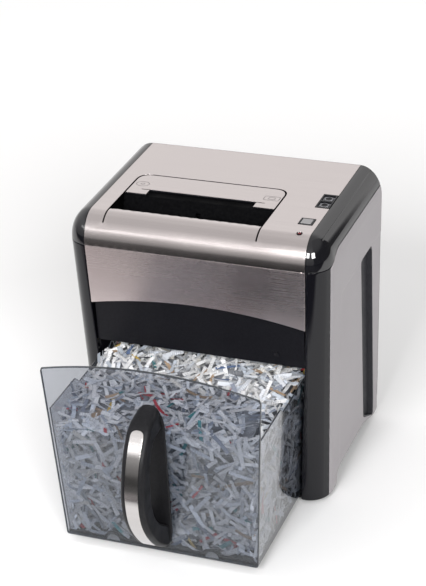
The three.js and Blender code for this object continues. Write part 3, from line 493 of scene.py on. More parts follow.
def circuit_board():
    """Green board: copper tracks under the lacquer, dark parts standing off it."""
    s = Shader("circuit_board", (0.02, 0.11, 0.05), 0.35)
    tracks = s.node("ShaderNodeTexBrick", {
        "Vector": s.place, "Scale": 260.0, "Mortar Size": 0.035, "Color1": (0.018, 0.1, 0.045, 1),
        "Color2": (0.024, 0.13, 0.06, 1), "Mortar": (0.06, 0.22, 0.09, 1)}).outputs["Color"]
    s.drive("Base Color", s.blend(s.ramp(s.noise(700, 3), 0, 0.5, 0.4, 0.7), tracks, (0.01, 0.05, 0.025)))
    s.drive("Roughness", s.ramp(s.noise(60, 3), 0.25, 0.5))
    s.bump((s.noise(900, 2), 4e-5, 0.4))
    return s.material


def smoked(name, tint, share, roughness=0.05):
    """Clear smoke-grey plastic. Light goes straight through it, tinted, and share of it is held back."""
    s = Shader(name, (0.25, 0.29, 0.33), roughness, specular_ior_level=0.5)
    out = s.tree.nodes["Material Output"]
    scuffs = s.noise(1.0, 5, (60, 500, 220), 0.65)
    s.drive("Roughness", s.ramp(scuffs, roughness - 0.03, roughness + 0.1, 0.35, 0.75))
    s.bump((s.noise(26, 2), 3e-5, 0.12))
    clear = s.node("ShaderNodeBsdfTransparent", {"Color": (*tint, 1)}).outputs[0]
    held = s.ramp(scuffs, share, share + 0.03, 0.5, 0.8)
    hazed = s.node("ShaderNodeMixShader", {0: held, 1: clear, 2: s.shader.outputs[0]}).outputs[0]
    gloss = s.node("ShaderNodeBsdfGlossy", {"Color": (1, 1, 1, 1), "Roughness": roughness}).outputs[0]
    facing = s.node("ShaderNodeLayerWeight", {"Blend": 0.5}).outputs["Facing"]
    mirror = s.ramp(s.math("POWER", facing, 4.6), 0.045, 1.0)
    mixed = s.node("ShaderNodeMixShader", {0: mirror, 1: hazed, 2: gloss}).outputs[0]
    s.tree.links.new(mixed, out.inputs["Surface"])
    return s.material


def shredded_paper():
    """Paper strips. Each point carries its strip's colour, with painted light and shade in it, and its place
    along and across the strip.
    """
    s = Shader("shredded_paper", (0.8, 0.8, 0.8), 0.62, specular_ior_level=0.3)
    tint = s.node("ShaderNodeAttribute", attribute_name="tint").outputs["Color"]
    strip = s.node("ShaderNodeAttribute", attribute_name="strip").outputs["Vector"]
    along = s.node("ShaderNodeSeparateXYZ", {0: strip})
    rows = s.math("FRACT", s.math("MULTIPLY", along.outputs["X"], 0.31))
    in_row = s.math("LESS_THAN", rows, 0.42)
    marks = s.math("GREATER_THAN", s.noise(1.0, 2, (2.4, 1.5, 0.3), 0.5, strip), 0.53)
    patches = s.math("GREATER_THAN", s.noise(1.0, 1, (0.05, 0.05, 1.0), 0.5, strip), 0.52)
    ink = s.math("MULTIPLY", s.math("MULTIPLY", in_row, marks), patches)
    aged = s.blend(s.ramp(s.noise(240, 3), 0, 0.16, 0.3, 0.7), tint, (0.5, 0.52, 0.56))
    s.drive("Base Color", s.blend(s.math("MULTIPLY", ink, 0.72), aged, (0.1, 0.11, 0.15)))
    s.bump((s.noise(1500, 3), 2e-5, 0.5))
    return s.material


def lamp_lens():
    """Red lens: a dim middle in a dark ring."""
    s = Shader("lens_red", (0.12, 0.006, 0.012), 0.25, specular_ior_level=0.3)
    shine = s.noise(420, 2)
    red = s.blend(s.ramp(shine, 0, 1, 0.35, 0.65), (0.11, 0.002, 0.006), (0.22, 0.01, 0.02))
    middle = at(LED_X, LED_Y, HEIGHT)
    reach = s.node("ShaderNodeVectorMath", {0: s.place, 1: tuple(middle)}, operation="DISTANCE")
    ring = s.ramp(reach.outputs["Value"], 0, 1, 1.9 * MM, 2.4 * MM)
    s.drive("Base Color", s.blend(ring, red, (0.01, 0.002, 0.003)))
    s.bump((shine, 3e-5, 0.3))
    return s.material


# painted reflection: factors by height that darken the nose's lower part and lighten its upper edge
NOSE_PAINTED_REFLECTION = (
    (372, 0.36), (377, 0.6), (382, 0.85), (388, 0.8), (393, 0.72), (397, 0.8), (402, 0.92), (406, 1.1),
    (409, 1.14), (411.5, 1.0))
# painted reflection: factors by height that darken and lighten bands along the inlay
INLAY_PAINTED_REFLECTION = (
    (128, 0.68), (139, 0.68), (147, 1.15), (158, 0.7), (167, 0.36), (200, 0.37), (216, 1.0))
STEEL = brushed("brushed_steel", (0.668, 0.614, 0.606), 0.22, NOSE_PAINTED_REFLECTION)
FRONT_STEEL = brushed("brushed_front", (0.672, 0.592, 0.588), 0.26)
INLAY = brushed("brushed_inlay", (0.89, 0.86, 0.85), 0.14, INLAY_PAINTED_REFLECTION)
HEM = glossy("smoke_hem", (0.004, 0.005, 0.008), 0.1, specular_ior_level=0.1)
GLOSS = glossy("gloss_black", (0.004, 0.004, 0.006), 0.04, specular_ior_level=0.9)
PILLAR = glossy("pillar_black", (0.003, 0.003, 0.005), 0.07, specular_ior_level=0.4)
CHARCOAL = moulded("charcoal", (0.014, 0.014, 0.016), 0.4, specular_ior_level=0.35)
GRIP = moulded("grip_black", (0.009, 0.009, 0.0105), 0.44, specular_ior_level=0.2)
FASCIA = moulded("fascia_black", (0.003, 0.003, 0.005), 0.4, specular_ior_level=0.2)
# darker than the other black mouldings and nearly without sheen: painted shade deep in the slot
THROAT = moulded("throat_black", (0.0015, 0.0015, 0.002), 0.6, specular_ior_level=0.02)
RECESS = moulded("recess_black", (0.041, 0.041, 0.046), 0.5, specular_ior_level=0.1)
BLACK = moulded("satin_black", (0.005, 0.005, 0.007), 0.36, specular_ior_level=0.3)
WELL = moulded("well_grey", (0.20, 0.20, 0.215), 0.4)
SILVER = painted("silver_paint", (0.36, 0.338, 0.352), 0.42)
BUTTON = painted("button_silver", (0.285, 0.276, 0.282), 0.35)
RUBBER = moulded("rubber", (0.012, 0.012, 0.012), 0.8, 3000, 4e-5)
NYLON = moulded("nylon", (0.72, 0.69, 0.60), 0.5)
ZINC = plated("zinc_plate", (0.42, 0.43, 0.44), 0.38)
CUTTER = plated("cutter_steel", (0.22, 0.22, 0.24), 0.34)
BRONZE = plated("sintered_bronze", (0.45, 0.27, 0.12), 0.4)
BOARD = circuit_board()
SMOKE = smoked("smoke_clear", (0.75, 0.765, 0.795), 0.02)
SMOKE_TUB = smoked("smoke_tub", (0.74, 0.755, 0.785), 0.02)
SMOKE_EDGE = smoked("smoke_edge", (0.05, 0.06, 0.08), 0.1, 0.2)
PAPER = shredded_paper()
LENS = lamp_lens()
MARK = moulded("printed_mark", (0.11, 0.105, 0.105), 0.55)

SLOT_MATERIAL = {
    "steel_brushed": STEEL, "gloss_black": GLOSS, "charcoal": CHARCOAL, "black": BLACK,
    "silver_plastic": SILVER, "smoke": SMOKE_TUB, "rubber": RUBBER, "zinc": ZINC,
    "cutter_steel": CUTTER, "bronze": BRONZE, "nylon": NYLON, "board": BOARD,
    "lens_red": LENS, "satin_silver": BUTTON,
}


OWN_MATERIAL = {
    "front_fascia": FASCIA, "throat_guide": THROAT, "paper_lever": THROAT, "left_side_recess": RECESS,
    "right_side_recess": RECESS, "interlock_plunger": BLACK,
}


def dress_cad_nodes():
    """Every CAD node gets the material of its slot; an imported material carries the slot's name."""
    for node in nodes.values():
        for i, imported in enumerate(node.data.materials):
            node.data.materials[i] = SLOT_MATERIAL[imported.name.split(".")[0]]
    for name, material in OWN_MATERIAL.items():
        nodes[name].data.materials[0] = material
    bezel = nodes["control_bezel"].data
    bezel.materials.append(WELL)
    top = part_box("control_bezel")[1].z
    for face in bezel.polygons:
        if face.normal.z > 0.9 and top - 4 * MM < face.center.z < top - 2 * MM:
            face.material_index = 1


def soften(node, width):
    """Smooth shading and a narrow rounding on a CAD node's edges. Its own points stay."""
    piece = nodes[node]
    for face in piece.data.polygons:
        face.use_smooth = True
    weld = piece.modifiers.new("weld", "WELD")
    weld.merge_threshold = 2e-6
    round_edges(piece, width, 40)
    weigh_normals(piece)


# ---------- the cabinet's outer surface ----------


def over_edge(u, v, inset):
    """The map of the rounded top: u runs outwards over the shoulder, v forwards over the nose."""
    reach = math.hypot(max(u, 0), max(v, 0))
    c, s = (max(u, 0) / reach, max(v, 0) / reach) if reach > 1e-9 else (1.0, 0.0)
    angle = math.radians(90) * min(reach, QUARTER) / QUARTER
    drop = max(0.0, reach - QUARTER)
    level, lift = math.sin(angle), math.cos(angle)
    x = TOP_HALF + min(u, 0) + (EDGE_X - inset) * level * c - TAPER * drop
    y = EDGE_Y + max(-v, 0) - (EDGE_Y - inset) * level * s
    return x, y, SEAM - drop + (EDGE_Z - inset) * lift


def down_wall(p, z, inset):
    """The map of the walls: p runs forwards along the side and round the corner, z is the height or arc."""
    angle = math.radians(90) * max(0.0, z - SEAM) / QUARTER
    level, lift = math.cos(angle), math.sin(angle)
    turn = math.radians(90) * min(max(p, 0), CORNER) / CORNER
    x = TOP_HALF - max(0, p - CORNER) + (EDGE_X - inset) * level * math.cos(turn) - narrowing(z)
    y = EDGE_Y + max(-p, 0) - (EDGE_Y - inset) * level * math.sin(turn)
    return x, y, min(z, SEAM) + (EDGE_Z - inset) * lift


def on_top(x, y):
    """Where a point above the nose or the flat top lies in the over_edge map."""
    v = math.degrees(math.asin(min(1.0, (EDGE_Y - y) / EDGE_Y))) / 90 * QUARTER if y < EDGE_Y else EDGE_Y - y
    return Vector((x - TOP_HALF, v))


def shoulder_map(y, z):
    """Where a point of the shoulder or corner lies in the over_edge map, for z above the seam."""
    lift = min(1.0, max(0.0, (z - SEAM) / EDGE_Z))
    reach = math.degrees(math.acos(lift)) / 90 * QUARTER
    if y >= EDGE_Y:
        return Vector((reach, EDGE_Y - y))
    level = math.sqrt(1 - lift * lift)
    s = min(1.0, (EDGE_Y - y) / EDGE_Y / level)
    return Vector((reach * math.sqrt(1 - s * s), reach * s))


def wall_map(y, z):
    """Where a point of the side lies in the down_wall map."""
    lift = min(1.0, max(0.0, (z - SEAM) / EDGE_Z))
    height = z if z <= SEAM else SEAM + math.degrees(math.asin(lift)) / 90 * QUARTER
    if y >= EDGE_Y:
        return Vector((EDGE_Y - y, height))
    s = min(1.0, (EDGE_Y - y) / EDGE_Y / math.sqrt(1 - lift * lift))
    return Vector((math.degrees(math.asin(s)) / 90 * CORNER, height))


LIP_Y = 31.0  # where the top starts to dip into the slot
LIP_DIP = 1.7


def top_place(u, v, inset):
    x, y, z = over_edge(u, v, inset)
    if SLOT_X[0] + 1 < x < SLOT_X[1] - 1 and LIP_Y < y < THROAT_Y[0] + 1:
        z -= LIP_DIP * ((y - LIP_Y) / (THROAT_Y[0] - LIP_Y)) ** 2
    return at(x, y, z)


def build_top():
    half = TOP_HALF - GAP / 2
    bezel_x, bezel_front, bezel_back = 138.5 - GAP, 110 - GAP, 152 + GAP
    corners = (
        (-half, 0), (half, 0), (half, bezel_front), (bezel_x, bezel_front), (bezel_x, bezel_back),
        (half, bezel_back), (half, BACK), (-half, BACK))
    left, right = SLOT_X
    slot = outline([
        (left, 12), (left + 2, 12), (left + 2, THROAT_Y[0]), (right - 2, THROAT_Y[0]), (right - 2, 12),
        (right, 12), (right, SLOT_BACK, 20), (left, SLOT_BACK, 20)], 3.0, 10)
    power = rectangle((POWER_X[0] - GAP, POWER_X[1] + GAP), (POWER_Y[0] - GAP, POWER_Y[1] + GAP), 1.0, 3.0)
    lamp = ellipse(LED_X, LED_Y, 4.2, 4.2, 28)
    loops = [refined([on_top(*p) for p in corners], 4.0)]
    loops += [[on_top(p.x, p.y) for p in hole] for hole in (slot, power, lamp)]
    us = spread(-2 * TOP_HALF + 4, -4, 14)
    vs = spread(0.5, QUARTER - 1.2, 2.0) + [-1.5, -3.0, -4.6] + spread(-216, -8, 14)
    # its cut edges are black behind the rounding: painted shade in the grooves and holes round it
    piece = panel("steel_top", loops, top_place, 1.2, us, vs, STEEL, edge=0.35, clear=0.7, wall=BLACK)
    stands_for(piece, "cabinet", "steel_brushed", "top_panel")


CREASE_U = 20.0  # where the cap's fine groove runs


def cap_place(u, v, inset):
    groove = 0.75 * math.exp(-(((u - CREASE_U) / 0.9) ** 2)) if v < 6 else 0.0
    return at(*over_edge(u, v, inset + groove))


def build_caps():
    inner = 0.25
    corners = [
        (-5, SEAM), (PILLAR_Y + 0.2, SEAM, 8), (PILLAR_Y + 26.2, SIDE_SEAM, 16), (BACK, SIDE_SEAM),
        (BACK, HEIGHT + 5), (-5, HEIGHT + 5)]
    rise = [p for p in outline(corners, 3.0, 10) if p.y < SIDE_SEAM + 0.1 and 0.5 < p.x < BACK - 0.1]
    rise = [shoulder_map(p.x, p.y) for p in rise]
    start = [Vector((inner, EDGE_Y - BACK)), Vector((inner, 0)), Vector((inner, QUARTER))]
    loop = refined(start + rise + [shoulder_map(BACK, SIDE_SEAM)], 3.0)
    us = [u for u in spread(2, QUARTER - 1, 2.5) if abs(u - CREASE_U) > 2.4]
    us += [CREASE_U + d for d in (-1.8, -1.2, -0.7, -0.35, 0, 0.35, 0.7, 1.2, 1.8)]
    vs = spread(1, QUARTER - 1, 2.5) + spread(-218, -1.5, 9)
    right = panel("right_cap", [loop], cap_place, 3.0, us, vs, GLOSS, edge=0.7)
    both_sides(right, "left_cap", "gloss_black", "trim_cap")


LEAF = 1.6  # radius of the pillar's inner edge
LEAF_BEND = LEAF * math.pi / 2
LEAF_FRONT = 40.0  # the pillar's flat width before that edge
LEAF_LIP = 11.0


def pillar_place(q, z, inset):
    """q runs from the side round the corner to the inner edge, and back along the lip."""
    ratio = (pillar_inner(z) + narrowing(z) - TOP_HALF) / EDGE_X
    inner = CORNER * math.degrees(math.acos(ratio)) / 90 if ratio > 0 else CORNER - ratio * EDGE_X
    outer = wall_map(PILLAR_Y, 0).x
    x, y, _ = down_wall(inner, z, 0)
    if q <= LEAF_FRONT:
        return at(*down_wall(outer + q / LEAF_FRONT * (inner - LEAF - outer), z, inset))
    around = min(1.0, (q - LEAF_FRONT) / LEAF_BEND) * math.radians(90)
    big = max(LEAF, inset)
    small = max(LEAF - inset, 0)
    along = max(0.0, q - LEAF_FRONT - LEAF_BEND)
    return at(x + big - small * math.sin(around), y + big - small * math.cos(around) + along, z)


def build_pillars():
    bend_end = LEAF_FRONT + LEAF_BEND
    loop = rectangle((0, bend_end + LEAF_LIP), (BASE_Z, SEAM - GAP), 0, 4.0)
    us = spread(1.5, LEAF_FRONT, 2.0) + spread(LEAF_FRONT, bend_end, 0.6) + [bend_end + LEAF_LIP - 3]
    vs = spread(BASE_Z + 2, KINK[1], 18) + spread(KINK[1], SEAM - 3, 16)
    right = panel("right_column", [loop], pillar_place, 3.0, us, vs, PILLAR, edge=0.6, clear=0.5)
    both_sides(right, "left_column", "charcoal", "pillar")


STEP_Y, STEP_Z = 66.0, 310.0  # front and top of the side's sunken field
STEP_ROUND = 12.0
STEP_DEPTH = 1.1
STEP_STATIONS = (-4, -2.4, -1.2, 0, 1.2, 2.4, 4)


def eased(t):
    """0 to 1, starting and ending gently."""
    t = min(1.0, max(0.0, t))
    return t * t * (3 - 2 * t)


def side_place(p, z, inset):
    """The side, with a shallow field set in behind and below a soft crease."""
    y = EDGE_Y - p
    beyond = min(y - STEP_Y, STEP_Z - z)
    if max(y - STEP_Y, STEP_Z - z) < STEP_ROUND:
        corner = Vector((max(0, STEP_Y + STEP_ROUND - y), max(0, z - STEP_Z + STEP_ROUND)))
        beyond = STEP_ROUND - corner.length
    return at(*down_wall(p, z, inset + STEP_DEPTH * eased((beyond + 2.4) / 4.8)))


def build_sides():
    top, knee = SIDE_SEAM - SLACK, PILLAR_Y + 26
    face = outline([
        (PILLAR_Y + GAP, BASE_Z), (52, BASE_Z, 6), (54, SIDE_LOW, 5), (186, SIDE_LOW, 6), (236, SIDE_HEEL, 6),
        (BACK, SIDE_HEEL, 8), (BACK, top), (knee, top, 16), (PILLAR_Y + GAP, SEAM - SLACK, 2)], 4.0, 8)
    recess = outline([
        (184.5, 37, 7), (162, 300), (162, 312, 3), (213, 312, 12), (234, 40), (234, 12.5, 6)], 4.0, 8)
    loops = [refined([wall_map(p.x, p.y) for p in loop], 5.0) for loop in (face, recess)]
    ps = [EDGE_Y - STEP_Y - d for d in STEP_STATIONS] + spread(1.5, 10.5, 2.0)
    ps += [-2, -5, -9, -14, -20, -26] + spread(-216, -36, 16)
    zs = [STEP_Z + d for d in STEP_STATIONS] + spread(10, 300, 18) + spread(316, 366, 10)
    zs += spread(SEAM, SEAM + 18, 2.5)
    # its cut edges are black behind the rounding: painted shade in the seams and round the recess
    right = panel("right_side", loops, side_place, 3.0, ps, zs, SILVER, edge=0.6, clear=0.9, wall=BLACK)
    both_sides(right, "left_side", "silver_plastic", "side_panel")


def flat_front(origin, y=0.0):
    """The map of a flat sheet that stands y behind a front plane."""
    return lambda x, z, inset: at(x, y + inset, z, origin)


def arch(half, end, rise, count=28):
    """Points of a shallow arch, from left to right."""
    shares = [2 * i / count - 1 for i in range(count + 1)]
    return [(half * share, end + rise * (1 - share ** 2)) for share in shares]


def build_front():
    top = SEAM - GAP
    half, top_half = pillar_inner(ARCH_Z) - GAP, pillar_inner(top) - 2 * GAP
    loop = outline([*arch(half, ARCH_Z, ARCH_RISE), (top_half, top), (-top_half, top)], 8.0)
    piece = panel("steel_front", [loop], flat_front(FRONT), 1.5, spread(-140, 140, 28), [310, 330, 350],
                  FRONT_STEEL, edge=0.45)
    stands_for(piece, "cabinet", "steel_brushed", "front_panel")


COVER_FRONT, COVER_BACK = (corner.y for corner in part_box("rear_cover"))
VENTS = range(262, 343, 9)  # heights of the slots
VENT_X, VENT_HALF, VENT_TALL = 130, 35, 3.6
CORD_X, CORD_Z, CORD_HALF = 120, 60, 7.4
SCREWS = [(-168, 60), (168, 60), (-174, 240), (174, 240), (-150, 392), (150, 392)]
SCREW_HEAD = [(0, 0.0), (2.0, 0.0), (2.0, 0.9), (3.3, 0.9), (3.7, 0.5), (3.8, -0.5), (0, -0.5)]


def rear_half(z):
    if z <= SEAM:
        return TOP_HALF + EDGE_X - narrowing(z)
    return TOP_HALF + EDGE_X * math.cos(math.asin((z - SEAM) / EDGE_Z))


def build_rear():
    """The back plate with its rounded shoulders, vents and cord hole, and its screws."""
    shoulder = [SEAM + EDGE_Z * math.sin(math.radians(a)) for a in range(6, 91, 6)]
    right = [(rear_half(z) - 1.6, z - 1.2 * (z > SEAM)) for z in [34.0] + spread(50, SEAM, 20) + shoulder]
    loops = [outline(right + [(-x, z) for x, z in reversed(right)], 9.0)]
    for z in VENTS:
        for x in (-VENT_X, VENT_X):
            loops.append(rectangle((x - VENT_HALF, x + VENT_HALF), (z, z + VENT_TALL), 1.7, 7.0))
    loops.append(rectangle(
        (CORD_X - CORD_HALF, CORD_X + CORD_HALF), (CORD_Z - CORD_HALF, CORD_Z + CORD_HALF), 6, 3.0))
    thick = (COVER_BACK - COVER_FRONT) / MM
    piece = panel("rear_plate", loops, lambda x, z, inset: at(x, -inset, z, COVER_BACK), thick,
                  spread(-176, 176, 32), spread(40, 400, 30), CHARCOAL, edge=0.8)
    stands_for(piece, "cabinet", "charcoal", "rear_cover")
    for i, (x, z) in enumerate(SCREWS):
        screw = lathe(f"rear_screw_{i + 1}", SCREW_HEAD, x, z, ZINC, 24,
                      lambda x, z, out: at(x, -out - 0.9, z, COVER_BACK))
        stands_for(screw, "cabinet", "zinc")


# ---------- slot plate and controls ----------


def build_slot_plate():
    left, right, back = SLOT_X[0] + 2.4, SLOT_X[1] - 2.4, SLOT_BACK - 2.4
    tab, slit, front = 79, 91, THROAT_Y[1]
    loop = outline([
        (left, front), (SLOT_MID - tab, front, 1), (SLOT_MID - tab, 104), (SLOT_MID - slit, 104),
        (SLOT_MID - slit, 106), (SLOT_MID + slit, 106), (SLOT_MID + slit, 104), (SLOT_MID + tab, 104),
        (SLOT_MID + tab, front, 1), (right, front), (right, back, 18), (left, back, 18)], 5.0, 10)
    # its cut edges are black behind the rounding: painted shade in the groove round it
    piece = panel("slot_bridge", [loop], lambda x, y, inset: at(x, y, HEIGHT - inset), 3.0,
                  spread(-120, 70, 24), [98, 115, 130, 142], STEEL, wall=BLACK)
    stands_for(piece, "cabinet", "steel_brushed", "slot_plate")


def build_slot_marks():
    """Outline pictures of a disc and of a card, printed beside the slot."""
    disc_x, card_x, y = -119, 73, 121
    loops = [
        ellipse(disc_x, y, 9.45, 7, 40), ellipse(disc_x, y, 2.6, 2.4, 20),
        rectangle((card_x - 11, card_x + 11), (y - 6, y + 6), 3, 3.0),
        rectangle((card_x - 4.5, card_x + 4.5), (y - 3, y + 3), 2, 3.0)]
    bm = bmesh.new()
    for loop in loops:
        rows = []
        for distance, height in ((-0.4, -0.02), (-0.4, 0.05), (0.4, 0.05), (0.4, -0.02)):
            rows.append([bm.verts.new(at(p.x, p.y, HEIGHT + height)) for p in drawn_in(loop, distance)])
        bridge(bm, rows + rows[:1])
    stands_for(finished(bm, "slot_marks", material=MARK), "cabinet", "charcoal")


def build_controls():
    top, flange, r = HEIGHT - 0.6, HEIGHT - 7.4, 6.2
    profile = [
        (0, flange - 2), (r + 1.3, flange - 2), (r + 1.3, flange), (r, flange), (r, top - 0.9),
        (r - 0.25, top - 0.35), (r - 0.8, top), (r - 1.5, top - 0.1), (r - 2.4, top - 0.5),
        (r - 4, top - 1.0), (0, top - 1.2)]
    for name, y in (("reverse", 121), ("forward", 141)):
        button = lathe(name + "_dial", profile, KEY_X, y, BLACK)
        button.data.materials.append(WELL)
        for face in button.data.polygons:
            reach = (face.center.xy - at(KEY_X, y, 0).xy).length / MM
            face.material_index = 1 if reach > 4.6 else 0
        stands_for(button, name + "_key", "black", name + "_button")
    lens = lathe("status_lens", [
        (0, HEIGHT - 8.7), (3.8, HEIGHT - 8.7), (3.8, HEIGHT - 1.3), (3.6, HEIGHT - 0.9), (2.9, HEIGHT - 0.2),
        (1.8, HEIGHT + 0.15), (0, HEIGHT + 0.28)], LED_X, LED_Y, LENS)
    stands_for(lens, "cabinet", "lens_red", "led_lens")
    for name in ("control_bezel", "button_frame", "power_button"):
        soften(name, 0.35)


# ---------- the bin ----------


def build_bin_front():
    foot, high = (FOOT_WIDTH, BIN_FLOOR, 4), 274
    half = bin_half(high)
    crown = reversed(arch(half - 1.5, high, 18))
    loop = outline([(-foot[0], *foot[1:]), foot, (half, high - 4), *crown, (-half, high - 4)], 8.0)
    piece = panel("bin_face", [loop], flat_front(BIN), 4.0, spread(-120, 120, 40), spread(40, 260, 40), SMOKE,
                  edge=0.8, rim=SMOKE_EDGE)
    stands_for(piece, "bin", "smoke", "bin_front")


def tunnel_arc(side, radius, height, count):
    """A half-round arch over a tunnel, cut off at a height, from its right end to its left one."""
    rise = math.asin((height - BIN_FLOOR) / radius)
    angles = [rise + (math.pi - 2 * rise) * k / count for k in range(count + 1)]
    return [(side * TUNNEL_X + radius * math.cos(a), BIN_FLOOR + radius * math.sin(a)) for a in angles]


def tub_section(inset):
    """The tub's floor with its two tunnels, from the left wall's foot to the right's."""
    low = BIN_FLOOR + inset
    half = bin_half(low) - 1 - inset
    left, right = (tunnel_arc(side, TUNNEL + inset, low, 14)[::-1] for side in (-1, 1))
    return [(-half, low), *left, *right, (half, low)]


RIM_HIGH, RIM_DROP = 209.5, 10.8
RIM_STEP = (85.5, 99.5)  # where the rim steps down


def tub_rim(y):
    """Height of the tub's rim, which steps down behind its front."""
    start, end = RIM_STEP
    return RIM_HIGH - RIM_DROP * eased((y - start) / (end - start))


def build_tub():
    """The tub: floor, sides and back. The bin's face closes its front."""
    front = 6.0
    stations = spread(front, 80, 19) + spread(84, 101, 2.2) + spread(115, BIN_END, 30)
    bm = bmesh.new()
    shells = []
    for inset in (0.0, BIN_WALL):
        floor = BIN_FLOOR + inset
        rows = []
        for y in stations:
            reach = min(y, BIN_END - inset)
            levels = [floor + (tub_rim(reach) - floor) * k / 6 for k in range(6, 0, -1)]
            wall = [(bin_half(z) - 1 - inset, z) for z in levels]
            line = [(-x, z) for x, z in wall] + tub_section(inset) + wall[::-1]
            rows.append([bm.verts.new(at(x, reach, z, BIN)) for x, z in line])
        shells.append(rows)
        bridge(bm, rows, closed=False)
        bm.faces.new(rows[-1])
    outer, inner = shells
    for k in (0, -1):
        bridge(bm, [[row[k] for row in outer], [row[k] for row in inner]], closed=False)
    bridge(bm, [outer[0], inner[0]], closed=False)
    bm.faces.new((outer[-1][0], outer[-1][-1], inner[-1][-1], inner[-1][0]))
    piece = finished(bm, "bin_shell", material=SMOKE_TUB)
    piece.data.materials.append(SMOKE_EDGE)
    for face in piece.data.polygons:
        middle, normal = face.center, face.normal
        rim = middle.z > 190 * MM and normal.z > 0.3
        mouth = middle.y < BIN + (front + 0.2) * MM
        tunnel = middle.z < 24.5 * MM and abs(normal.y) < 0.5 and abs(normal.z) > 0.03
        if rim or mouth or tunnel:
            face.material_index = 1
    round_edges(piece, 0.8, 50)
    piece.modifiers.move(1, 0)
    stands_for(piece, "bin", "smoke", "bin_tub")


def build_hem():
    """The dark band behind the foot of the bin's face, arched over the mouth of each of the two tunnels."""
    low, band, hump, mouth = 11.0, 15.4, 12.9, 9.9
    half = bin_half(band) - 1.4
    corners = [(-half, low)]
    for side in (-1, 1):
        corners += tunnel_arc(side, mouth, low, 12)[::-1]
    corners += [(half, low), (half, band)]
    for side in (1, -1):
        corners += tunnel_arc(side, hump, band, 12)
    corners.append((-half, band))
    piece = panel("bin_hem", [outline(corners, 6.0)], flat_front(BIN, 4.3), 1.5, [], [], HEM, edge=0.4)
    stands_for(piece, "bin", "smoke")


# ---------- the handle ----------

GRIP_OUTER = [
    (3.8, 243.0), (8, 241), (38, 231), (64, 197), (77, 158), (79, 132), (74, 104), (60, 76), (38, 48),
    (14, 29), (3.8, 24.0)]
GRIP_INNER = [
    (3.8, 211.0), (8, 211), (31, 206), (45, 184), (50, 158), (51, 128), (44, 100), (28, 78), (8, 62),
    (3.8, 58.0)]
GRIP_HALF = 16.5
INLAY_HALF = 9.2
INLAY_TOP, INLAY_FOOT = 229, 44


def spline(points, per=24):
    """Points along a Catmull-Rom curve."""
    p = [Vector(q) for q in points]
    p = [p[0], *p, p[-1]]
    out = []
    for a, b, c, d in zip(p, p[1:], p[2:], p[3:]):
        for k in range(per):
            t = k / per
            bend = (2 * a - 5 * b + 4 * c - d) * t ** 2 + (3 * b - a - 3 * c + d) * t ** 3
            out.append(0.5 * (2 * b + (c - a) * t + bend))
    return out + [p[-1]]


class Path:
    """A curve that is read by its length in millimetres."""

    def __init__(self, points):
        self.points = points
        self.runs = np.concatenate([[0], np.cumsum([(b - a).length for a, b in zip(points, points[1:])])])
        self.length = self.runs[-1]

    def at(self, run):
        x = np.interp(run, self.runs, [p.x for p in self.points])
        y = np.interp(run, self.runs, [p.y for p in self.points])
        return Vector((x, y))

    def inward(self, run):
        ahead = (self.at(min(run + 1.5, self.length)) - self.at(max(run - 1.5, 0))).normalized()
        return Vector((ahead.y, -ahead.x))

    def run_at_height(self, z):
        heights = [p.y for p in self.points]
        return float(np.interp(-z, [-h for h in heights], self.runs))


def grip_width(z):
    """The grip narrows towards both of its ends, as seen from the front."""
    beyond = max(z - 216, 46 - z, 0) / 29
    return GRIP_HALF * (1 - beyond ** 3.2) ** (1 / 3.2)


def grip_section(length):
    """Rounded outline of the grip: (across, share of the way from the inner to the outer curve)."""
    half, inner, outer = GRIP_HALF, 4.0, 6.0
    corners = [(-half, 0, inner), (half, 0, inner), (half, length, outer), (-half, length, outer)]
    points = []
    for i, (a, b, r) in enumerate(corners):
        x, y = a - math.copysign(r, a), b - (r if b > 0 else -r)
        angles = [math.radians(180 + 90 * i + 15 * k) for k in range(7)]
        points += [(x + r * math.cos(angle), (y + r * math.sin(angle)) / length) for angle in angles]
        if i == 2:
            points += [((half - r) * (1 - 0.4 * k), 1.0) for k in range(1, 5)]
    return points


def build_handle():
    outer, inner = Path(spline(GRIP_OUTER)), Path(spline(GRIP_INNER))
    bm = bmesh.new()
    rows = []
    for share in spread(0, 1, 1 / 90):
        out, back = outer.at(share * outer.length), inner.at(share * inner.length)
        row = []
        for across, part in grip_section((out - back).length):
            spot = back.lerp(out, part)
            row.append(bm.verts.new(at(across * grip_width(spot.y) / GRIP_HALF, -spot.x, spot.y, BIN)))
        rows.append(row)
    bridge(bm, rows)
    bm.faces.new(rows[0])
    bm.faces.new(rows[-1])
    grip = finished(bm, "grip_bow", sharp=50, material=GRIP)
    start, end = outer.run_at_height(INLAY_TOP), outer.run_at_height(INLAY_FOOT)

    def strip(name, grow, lift, thick, material):
        """A strip along the bow, grown all round and lifted off its bed."""
        def place(x, run, inset):
            spot = outer.at(run) + outer.inward(run) * (inset - lift)
            return at(x, -spot.x, spot.y, BIN)

        half, first, last = INLAY_HALF + grow, start - grow, end + grow
        corners = [(-half, first, half), (half, first, half), (half, last, 2), (-half, last, 2)]
        return panel(name, [outline(corners, 3.0, 10)], place, thick, spread(-8, 8, 4),
                     spread(start + 3, end - 3, 4), material, edge=0.35, clear=1.0)

    inlay = strip("grip_inlay", 0, 0.0, 1.2, INLAY)
    cutter = strip("bed_cutter", 0.35, 3.0, 4.6, CHARCOAL)
    cut = grip.modifiers.new("bed", "BOOLEAN")
    cut.object = cutter
    cut.operation = "DIFFERENCE"
    cut.solver = "EXACT"
    grip.modifiers.move(1, 0)
    settle(grip)
    bpy.data.objects.remove(cutter)
    stands_for(grip, "bin", "charcoal", "handle_grip")
    stands_for(inlay, "bin", "steel_brushed", "handle_inlay")


